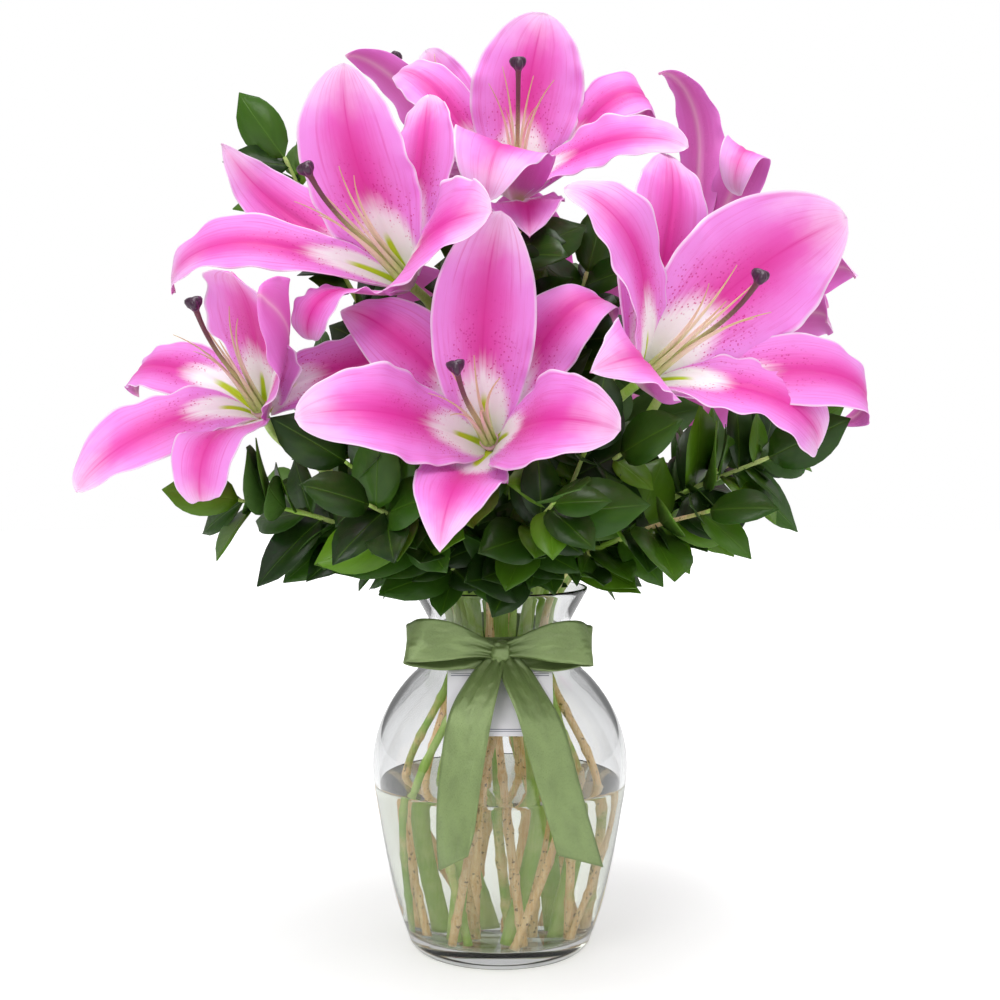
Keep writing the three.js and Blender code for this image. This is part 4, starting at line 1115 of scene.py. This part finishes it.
def leaf_paint(looks):
    """Glossy green from dark to young by leaf, with a pale midrib and fine veins that run with the edges."""
    paint = Paint("leaf")
    s, t = paint.layer("along"), paint.layer("across").size()
    reach, aside = paint.layer("reach"), paint.layer("aside")
    tone, inner = paint.layer("tone"), paint.layer("inner")
    veins = paint.noise(paint.vector(t * 5.0 - s * 7.0, s * 2.0, tone * 41), 1.0, 2.0, 0.6)
    blotch = paint.noise(paint.vector(aside * 0.08, reach * 0.05, tone * 17), 1.0, 2.0)
    shade = paint.mix(looks.dark_leaf, looks.green_leaf, tone.rise(0.10, 0.6))
    shade = paint.mix(shade, looks.young_leaf, tone.rise(0.62, 0.95) * 0.9)
    shade = paint.mix(shade, looks.young_leaf, (blotch - 0.5).most(0.0) * 0.6)
    shade = paint.mix(shade, looks.dark_leaf, (veins - 0.45).most(0.0) * 0.5)
    rib = aside.size().bell(0.25) * s.rise(1.0, 0.8)
    shade = paint.mix(shade, looks.young_leaf, rib * 0.4)
    under = paint.mix(shade, looks.under_leaf, 0.35)
    shade = paint.mix(under, shade, inner.rise(0.3, 0.7))
    relief = paint.bump(veins - rib * 1.5, 0.0004, 0.35)
    return paint.finish(paint.principled(
        Base_Color=shade, Roughness=0.50 - inner * 0.18, Normal=relief, Specular_IOR_Level=0.28,
        Subsurface_Weight=0.05, Subsurface_Radius=(0.4, 1.0, 0.2), Subsurface_Scale=0.001,
    ))


# ---- vase and water -----------------------------------------------------------------------------
GLASS_IOR, WATER_IOR = 1.47, 1.333


def glass_profile():
    """The vase's profile: its foot, the outside as one smooth curve, a rounded rim and the inside."""
    foot = np.array([(1, 0.6), (20, 0.6), (38, 0.5), (41, 0.15), (43, 0), (45.5, 0)])
    heel = profile_curve([(45.5, 0), (50.4, 1.2), (53.2, 4.5)], 10)[1:-1]
    outside = profile_curve(VASE_OUTSIDE[1:], 150)
    rim = profile_curve([(50.8, 208.4), (50.9, 209.7), (50.1, 210.2), (49.4, 209.6)], 10)[1:-1]
    inside = profile_curve([(49.2, 209.0), *VASE_INSIDE[1:]], 150)
    floor = np.array([(44, 11.3), (38, 11.1), (20, 10.9), (1, 10.8)])
    return np.concatenate([foot, heel, outside, rim, inside, floor])


def water_profile(level):
    """The water: the inside's curve up to its level, where it climbs the glass by a little. It reaches
    0.25 mm into the glass, so that no air shows between the two."""
    inside = profile_curve(VASE_INSIDE[::-1], 400)
    wall = inside[(inside[:, 1] < level + 1.3) & (inside[:, 1] > 11.9)][::3] + (0.25, 0)
    edge = wall[-1, 0]
    drop = np.array([0.4, 0.9, 1.6, 2.6, 4.0, 6.0])
    meniscus = np.stack([edge - drop, level + 1.2 * np.exp(-drop / 1.4)], -1)
    flat = np.array([(edge * share, level) for share in (0.8, 0.6, 0.4, 0.2, 0.02)])
    floor = np.array([(1, 10.6), (20, 10.7), (38, 10.9), (44, 11.1)])
    return np.concatenate([floor, wall, meniscus, flat])


def clear_paint(name, tint, ior):
    """Clear glass or water that bends what is seen through it and lets the lamps' light straight through."""
    paint = Paint(name)
    bent = paint.node("ShaderNodeBsdfGlass", None, {"Color": tint, "IOR": ior, "Roughness": 0.0})
    through = paint.node("ShaderNodeBsdfTransparent", None, {"Color": (1, 1, 1)})
    lamp = paint.node("ShaderNodeLightPath", output="Is Shadow Ray")
    mixed = paint.node("ShaderNodeMixShader", None, {0: lamp, 1: bent, 2: through})
    return paint.finish(mixed)


# ---- ribbon and card ----------------------------------------------------------------------------
# Stations along each strip of the bow: x, y, z, share of the ribbon's width, and the direction across it.
LEFT_LOOP = (
    (-1, -47, 178.5, 0.30, 0, 0, 1), (-12, -53, 182.5, 0.50, 0, 0.1, 1),
    (-27, -58.5, 186, 0.86, -0.1, 0.1, 1), (-42, -58.5, 186.5, 1, -0.1, 0.3, 1),
    (-51, -53, 184, 1, 0, 0.8, 0.8), (-47, -47, 180, 1, 0, 0.9, 0.7),
    (-32, -44.5, 177.5, 0.95, 0, 0.8, 0.8), (-15, -44.5, 176.5, 0.65, 0, 0.6, 1),
    (-1, -46, 178, 0.35, 0, 0, 1),
)
RIGHT_LOOP = (
    (2, -47, 178.5, 0.30, 0, 0, 1), (12, -53, 182, 0.50, 0, 0.1, 1),
    (27, -58.5, 185, 0.86, 0.1, 0.1, 1), (42, -58.5, 185.5, 1, 0.1, 0.3, 1),
    (50.5, -53, 183, 1, 0, 0.8, 0.8), (47, -47, 179.5, 1, 0, 0.9, 0.7),
    (32, -44.5, 176.5, 0.95, 0, 0.8, 0.8), (15, -44.5, 176, 0.65, 0, 0.6, 1),
    (2, -46, 178, 0.35, 0, 0, 1),
)
LEFT_TAIL = (
    (-1, -47, 177, 0.35, 1, 0, 0), (-8, -57, 166, 0.8, 1, -0.15, 0.25),
    (-16, -71, 147, 1, 1, -0.22, 0.1), (-21.5, -77, 114, 1, 1, -0.3, 0),
    (-24, -78.5, 90, 1, 0.85, -0.5, 0), (-25.5, -78.5, 69, 1, 0.62, -0.78, 0),
)
RIGHT_TAIL = (
    (3, -47, 177, 0.35, 1, 0, 0), (10, -57, 166, 0.8, 1, 0.1, -0.3),
    (21.5, -71, 145, 1, 1, 0.3, -0.25), (31, -73.5, 113, 1, 1, 0.42, -0.2),
    (38, -71, 88, 1, 1, 0.5, -0.25), (44, -67, 67, 1, 1, 0.5, -0.3),
)
# The band's lower and upper edge, its middle and its radius there, and the knot's middle.
BAND_LOW, BAND_HIGH, BAND_MIDDLE, BAND_RADIUS = 171.4, 185.6, 178.5, 37.0
KNOT = (0.5, -46.2, 178.2)


def strip(stations, looks, cut=0.0, gather=(1.0, 0.0), rows=60, columns=13):
    """A strip of ribbon: the stations' smooth curve swept by its width, bowed across, with pleats that
    die out from its start (and, for a loop, its end), and a slanting cut at the end."""
    path = even(spline(stations, np.linspace(0, 1, 240)), rows)
    centre, share, level = path[:, :3], path[:, 3:4], path[:, 4:7]
    way = unit(np.gradient(centre, axis=0))
    across = unit(level - way * np.einsum("ij,ij->i", level, way)[:, None])
    normal = np.cross(way, across)
    s = np.linspace(0, 1, rows)[:, None]
    t = np.linspace(-1, 1, columns)[None]
    full = looks.width / MM / 2
    half = full * share
    slant = cut * full * t * smooth((s - 0.8) / 0.2)
    pleat = gather[0] * np.exp(-s / 0.12) + gather[1] * np.exp(-(1 - s) / 0.12)
    out = 1.5 * pleat * np.sin(2.5 * np.pi * t + 0.6) + 0.9 * (1 - share) * (t**2) - 0.5 * t**2
    out = out + 0.35 * np.sin(TAU * (1.7 * s + 0.2 * t)) * smooth(s / 0.2)
    grid = (
        centre[:, None]
        + across[:, None] * (half * t)[..., None]
        + way[:, None] * slant[..., None]
        + normal[:, None] * out[..., None]
    )
    run = run_of(centre)[:, None] * np.ones_like(t)
    return blade(grid, np.full(grid.shape[:2], looks.thickness / MM), along=run, across=full * t + 0 * s)


def band_surface(looks):
    """The band: a ring on the glass, bunched into creases by a sine of the height that wanders round it."""
    around = np.linspace(0, TAU, 121)[:, None]
    z = np.linspace(BAND_LOW, BAND_HIGH, 15)[None]
    crease = 0.35 * np.sin((z - 171) * 1.25 + 0.5 * np.sin(3 * around)) + 0.15 * np.sin(5 * around + z)
    radius = radius_at(VASE_OUTSIDE[8:], z) + 1.05 + crease
    turn = around - np.pi / 2
    grid = np.stack([radius * np.cos(turn), radius * np.sin(turn), z + 0.4 * np.sin(2 * around)], -1)
    return blade(
        grid, np.full(grid.shape[:2], looks.thickness / MM),
        along=around * 36 + 0 * z, across=(z - BAND_MIDDLE) * 1.6 + 0 * around,
    )


def knot_surface():
    """The knot: a fat tube across the front, its ends rounded by a power of 2.6, with folds round it that
    twist along it."""
    sides = 40
    s = np.linspace(-1, 1, 25)
    line = np.stack([KNOT[0] + 6.6 * s, KNOT[1] - 1.2 * (1 - s**2), KNOT[2] + 0.5 * s], -1)
    turn = np.arange(sides) * TAU / sides
    s = s[:, None]
    body = 5.6 * np.sqrt(np.maximum(1 - np.abs(s) ** 2.6, 0.02))
    body = body * (1 + 0.07 * np.sin(5 * turn + 2 * s) + 0.05 * np.cos(9 * turn - 3 * s))
    round_it = np.stack([0 * body, 0.86 * body * np.cos(turn), 1.12 * body * np.sin(turn)], -1)
    return closed_tube(line[:, None] + round_it, along=6 * turn + 0 * s, across=10 * s + 0 * turn)


def ribbon_surface(looks):
    """The band, the knot, two loops that gather at both ends, and two tails that are cut aslant."""
    return joined([
        band_surface(looks),
        knot_surface(),
        strip(LEFT_LOOP, looks, gather=(1, 1), rows=90),
        strip(RIGHT_LOOP, looks, gather=(1, 1), rows=90),
        strip(LEFT_TAIL, looks, cut=-0.6),
        strip(RIGHT_TAIL, looks, cut=0.8),
    ])


def satin_paint(looks):
    """Satin: fine threads across and along, a smooth shine that drifts a little, painted shade in broad
    drifting patches, and painted shade beside the knot.
    """
    paint = Paint("satin_ribbon")
    along, across = paint.layer("along"), paint.layer("across")
    threads = paint.noise(paint.vector(along * 0.9, across * 9.0), 1.0, 2.0, 0.6)
    weft = paint.node(
        "ShaderNodeTexWave", {"wave_type": "BANDS", "bands_direction": "X"},
        {"Vector": paint.vector(along, across), "Scale": 1.6, "Distortion": 0.6, "Detail": 1.0},
    )
    cloud = paint.noise(paint.vector(along * 0.06, across * 0.12), 1.0, 2.0)
    # Darker in the fine threads of the weave, and in broad drifting patches that are painted shade, as the
    # satin's shine comes and goes.
    shade = paint.mix(looks.dark_weave_and_shade, looks.satin, (threads * 0.5 + cloud * 0.4).rise(0.15, 0.60))
    # Painted shade: darker beside the knot, where the ribbon gathers.
    shade = paint.mix(shade, looks.dark_weave_and_shade, along.rise(26.0, 4.0) * 0.6)
    relief = paint.bump(cloud, 0.004, 0.4)
    relief = paint.bump(threads, 0.00012, 0.5, relief)
    relief = paint.bump(weft, 0.00005, 0.3, relief)
    return paint.finish(paint.principled(
        Base_Color=shade, Roughness=0.30 + (threads - 0.5) * 0.2, Normal=relief,
        Specular_IOR_Level=0.9, Metallic=0.35,
    ))


# The card's sizes in mm, the middle of its lower edge, and how far it leans back in degrees.
CARD = {
    "width": 58.0, "height": 40.0, "thickness": 0.6, "corner": 1.2, "bevel": 0.08,
    "bottom": (0, -68.95, 136), "lean": 34.6,
}


def card_surface():
    """A thin card with small round corners and softened edges, leaning on the shoulder behind the bow: its
    outline is carried through its thickness."""
    lean = np.radians(CARD["lean"])
    rise = np.array([0, np.sin(lean), np.cos(lean)])
    out = np.array([0, -np.cos(lean), np.sin(lean)])
    r = CARD["corner"]
    turn = np.arange(32) * TAU / 32
    corner = np.stack([np.sign(np.cos(turn + 1e-9)), np.sign(np.sin(turn + 1e-9))], -1)
    spread = np.array([CARD["width"] / 2 - r, CARD["height"] / 2 - r])
    outline = corner * spread + r * np.stack([np.cos(turn), np.sin(turn)], -1)
    half, bevel = CARD["thickness"] / 2, CARD["bevel"]
    level = np.array([-half, bevel - half, half - bevel, half])
    shrink = 1.5 * bevel * np.array([1, 0, 0, 1])
    flat = outline[None] - np.sign(outline)[None] * shrink[:, None, None]
    middle = np.array(CARD["bottom"]) + rise * CARD["height"] / 2
    rings = (
        middle
        + flat[..., :1] * np.array([1.0, 0, 0])
        + flat[..., 1:] * rise
        + level[:, None, None] * out
    )
    return closed_tube(rings)


def card_paint(looks):
    """White card with a pair of thin grey lines inside its upper and its lower edge."""
    paint = Paint("card_paper")
    place = paint.place()
    height = paint.node("ShaderNodeSeparateXYZ", None, {"Vector": place}, output="Z")
    lean = np.radians(CARD["lean"])
    middle = (CARD["bottom"][2] + np.cos(lean) * CARD["height"] / 2) * MM
    high = ((height - middle) / (np.cos(lean) * MM)).size()
    wide = paint.node("ShaderNodeSeparateXYZ", None, {"Vector": place}, output="X").size() / MM
    thin = (high - 17.2).size().rise(0.24, 0.14)
    thick = (high - 16.0).size().rise(0.34, 0.22)
    lines = thin.most(thick) * wide.rise(27.2, 26.9)
    shade = paint.mix(looks.card, looks.border, lines)
    relief = paint.bump(paint.noise(place, 2600.0, 2.0), 0.00008, 0.3)
    return paint.finish(paint.principled(Base_Color=shade, Roughness=0.62, Normal=relief))


# ---- operators ----------------------------------------------------------------------------------
class BuildOperator:
    """What the operators share: each has a build method, whose errors stop the script."""

    bl_options = {"REGISTER", "UNDO"}

    def execute(self, context):
        self.build(context.scene)
        return {"FINISHED"}


class BOUQUET_OT_vase(BuildOperator, bpy.types.Operator):
    """Build the glass vase and the water in it"""

    bl_idname = "bouquet.vase"
    bl_label = "Vase and water"

    def build(self, scene):
        looks = scene.bouquet_vase
        glass = clear_paint("clear_glass", looks.glass, GLASS_IOR)
        water = clear_paint("water", looks.water, WATER_IOR)
        piece("glass_vase", lathe(glass_profile()), [glass], ["vase"])
        body = lathe(water_profile(looks.water_level / MM))
        piece("vase_water", body, [water], ["water"])


class BOUQUET_OT_lilies(BuildOperator, bpy.types.Operator):
    """Build the nine open lilies, six tepals each"""

    bl_idname = "bouquet.lilies"
    bl_label = "Lilies"

    def build(self, scene):
        looks = scene.bouquet_lily
        paint = tepal_paint(looks)
        for name in BLOOMS:
            tepals = [tepal_surface(name, i, TEPAL_GRID, looks) for i in range(6)]
            lily = joined([cup_surface(name), *tepals])
            piece(f"lily_{name}", lily, [paint], [f"bloom_{name}"])


class BOUQUET_OT_centres(BuildOperator, bpy.types.Operator):
    """Build each lily's pistil and filaments"""

    bl_idname = "bouquet.centres"
    bl_label = "Pistils and filaments"

    def build(self, scene):
        looks = scene.bouquet_centre
        paints = centre_paints(looks)
        for name in BLOOMS:
            piece(f"pistil_{name}", centre_surface(name, looks), paints, [f"centre_{name}"])


class BOUQUET_OT_stems(BuildOperator, bpy.types.Operator):
    """Build the lilies' stems"""

    bl_idname = "bouquet.stems"
    bl_label = "Lily stems"

    def build(self, scene):
        paint = stem_paint(scene.bouquet_greens)
        for index in range(len(LILY_STEMS)):
            name = f"lily_stem_{index + 1}"
            piece(f"green_{name}", lily_stem_surface(index), [paint], [name])


class BOUQUET_OT_greens(BuildOperator, bpy.types.Operator):
    """Build the leafy stems"""

    bl_idname = "bouquet.greens"
    bl_label = "Leafy stems"

    def build(self, scene):
        looks = scene.bouquet_greens
        paints = [stem_paint(looks), leaf_paint(looks)]
        coarse = [
            tepal_surface(name, i, COARSE_TEPAL_GRID, scene.bouquet_lily).points
            for name in BLOOMS
            for i in range(6)
        ]
        surfaces = leafy_stem_surfaces(looks, np.concatenate(coarse))
        for index, surface in enumerate(surfaces):
            piece(f"greens_{index + 1}", surface, paints, [f"leafy_stem_{index + 1}"])


class BOUQUET_OT_ribbon(BuildOperator, bpy.types.Operator):
    """Build the satin ribbon's band, knot, loops and tails"""

    bl_idname = "bouquet.ribbon"
    bl_label = "Ribbon"

    def build(self, scene):
        looks = scene.bouquet_ribbon
        made = piece("satin_bow", ribbon_surface(looks), [satin_paint(looks)], ["ribbon"])


class BOUQUET_OT_card(BuildOperator, bpy.types.Operator):
    """Build the blank card behind the bow"""

    bl_idname = "bouquet.card"
    bl_label = "Card"

    def build(self, scene):
        piece("blank_card", card_surface(), [card_paint(scene.bouquet_ribbon)], ["card"])


FILM_WIDTH = 36  # mm
LAMPS_AIM = (0, 0, 0.3)  # the middle of the bouquet, in metres


class BOUQUET_OT_stage(BuildOperator, bpy.types.Operator):
    """Set up the pale floor, the soft light and the camera"""

    bl_idname = "bouquet.stage"
    bl_label = "Floor, light and camera"

    def build(self, scene):
        looks = scene.bouquet_stage
        scene.view_settings.view_transform = "Standard"
        self.floor(scene, looks)
        self.surround(scene, looks)
        self.lamp(scene, "key", looks.key, 0.8, (-0.7, -1.2, 1.2))
        self.lamp(scene, "fill", looks.key * 0.4, 1.0, (1.1, -1.0, 0.8))
        self.lamp(scene, "top", looks.key * 1.6, 1.0, (0.1, -0.1, 1.7))
        camera = bpy.data.objects.new("camera", bpy.data.cameras.new("camera"))
        camera.data.lens = looks.lens
        camera.data.sensor_width = FILM_WIDTH
        camera.location = (0, -looks.eye_distance, looks.eye_height)
        camera.rotation_euler = (np.radians(90 - looks.pitch), 0, 0)
        scene.collection.objects.link(camera)
        scene.camera = camera

    def floor(self, scene, looks):
        """A wide round floor, just under the vase's foot. It glows little near the vase, so that it takes a
        soft shadow there, and more farther off, so that it is plain white. To all but the camera's own rays
        it glows least, so that the glass is a light grey."""
        sides, radius, below = 96, 4.0, 0.0002
        near, far, unseen = (0.35,) * 3, (0.9,) * 3, (0.22,) * 3
        turn = np.arange(sides) * TAU / sides
        points = np.stack([radius * np.cos(turn), radius * np.sin(turn), 0 * turn - below], -1)
        mesh = bpy.data.meshes.new("floor")
        mesh.from_pydata(points.tolist(), [], [list(range(sides))])
        paint = Paint("floor")
        away = paint.node("ShaderNodeVectorMath", {"operation": "LENGTH"}, {0: paint.place()}, output="Value")
        glow = paint.mix(near, far, away.rise(0.15, 0.50))
        seen = paint.node("ShaderNodeLightPath", output="Is Camera Ray")
        glow = paint.mix(unseen, glow, seen)
        mesh.materials.append(paint.finish(paint.principled(
            Base_Color=looks.floor, Roughness=0.6, Emission_Color=glow, Emission_Strength=1.0
        )))
        made = bpy.data.objects.new("floor", mesh)
        scene.collection.objects.link(made)

    def surround(self, scene, looks):
        """White to the camera, and to all else grey with darker stripes low down, which clear glass shows:
        a cosine of the way round, where the height above or below the horizon is small."""
        world = bpy.data.worlds.new("surround")
        scene.world = world
        world.use_nodes = True
        paint = Paint("surround", world)
        place = paint.node("ShaderNodeTexCoord", output="Generated")
        east, north, height = (
            paint.node("ShaderNodeSeparateXYZ", None, {"Vector": place}, output=axis) for axis in "XYZ"
        )
        turned = north.math("ARCTAN2", north, east) * 8.0
        gaps = turned.math("COSINE", turned).rise(-0.6, 0.5)
        stripes = height.size().rise(0.32, 0.14) * (1 - gaps)
        glow = (1 - stripes * 0.62) * looks.sky
        seen = paint.node("ShaderNodeLightPath", output="Is Camera Ray")
        background = paint.node(
            "ShaderNodeBackground", None, {"Color": (1, 1, 1), "Strength": glow.most(seen)}
        )
        paint.node("ShaderNodeOutputWorld", None, {"Surface": background})

    def lamp(self, scene, name, power, size, place):
        """A square soft light that looks at the middle of the bouquet."""
        light = bpy.data.lights.new(name, "AREA")
        light.energy, light.size = power, size
        made = bpy.data.objects.new(name, light)
        towards = np.array(LAMPS_AIM) - np.array(place)
        made.location = place
        made.rotation_mode = "QUATERNION"
        made.rotation_quaternion = Vector(towards).to_track_quat("-Z", "Y")
        scene.collection.objects.link(made)


OPERATORS = (
    BOUQUET_OT_vase, BOUQUET_OT_lilies, BOUQUET_OT_centres, BOUQUET_OT_stems, BOUQUET_OT_greens,
    BOUQUET_OT_ribbon, BOUQUET_OT_card, BOUQUET_OT_stage,
)


class BOUQUET_PT_panel(bpy.types.Panel):
    """Lists the operators in the sidebar"""

    bl_idname = "BOUQUET_PT_panel"
    bl_label = "Lily bouquet"
    bl_space_type = "VIEW_3D"
    bl_region_type = "UI"
    bl_category = "Bouquet"

    def draw(self, context):
        for operator in OPERATORS:
            self.layout.operator(operator.bl_idname)


def register():
    """Adds the settings to the scene, and the operators and the panel to Blender."""
    for name, group in SETTINGS.items():
        bpy.utils.register_class(group)
        setattr(bpy.types.Scene, name, bpy.props.PointerProperty(type=group))
    for made in (*OPERATORS, BOUQUET_PT_panel):
        bpy.utils.register_class(made)


def unregister():
    """Takes away what register added, in the reverse order."""
    for made in (BOUQUET_PT_panel, *reversed(OPERATORS)):
        bpy.utils.unregister_class(made)
    for name, group in reversed(SETTINGS.items()):
        delattr(bpy.types.Scene, name)
        bpy.utils.unregister_class(group)


def main():
    """Builds every piece and the stage."""
    register()
    bpy.ops.bouquet.vase()
    bpy.ops.bouquet.lilies()
    bpy.ops.bouquet.centres()
    bpy.ops.bouquet.stems()
    bpy.ops.bouquet.greens()
    bpy.ops.bouquet.ribbon()
    bpy.ops.bouquet.card()
    bpy.ops.bouquet.stage()


if __name__ == "__main__":
    main()
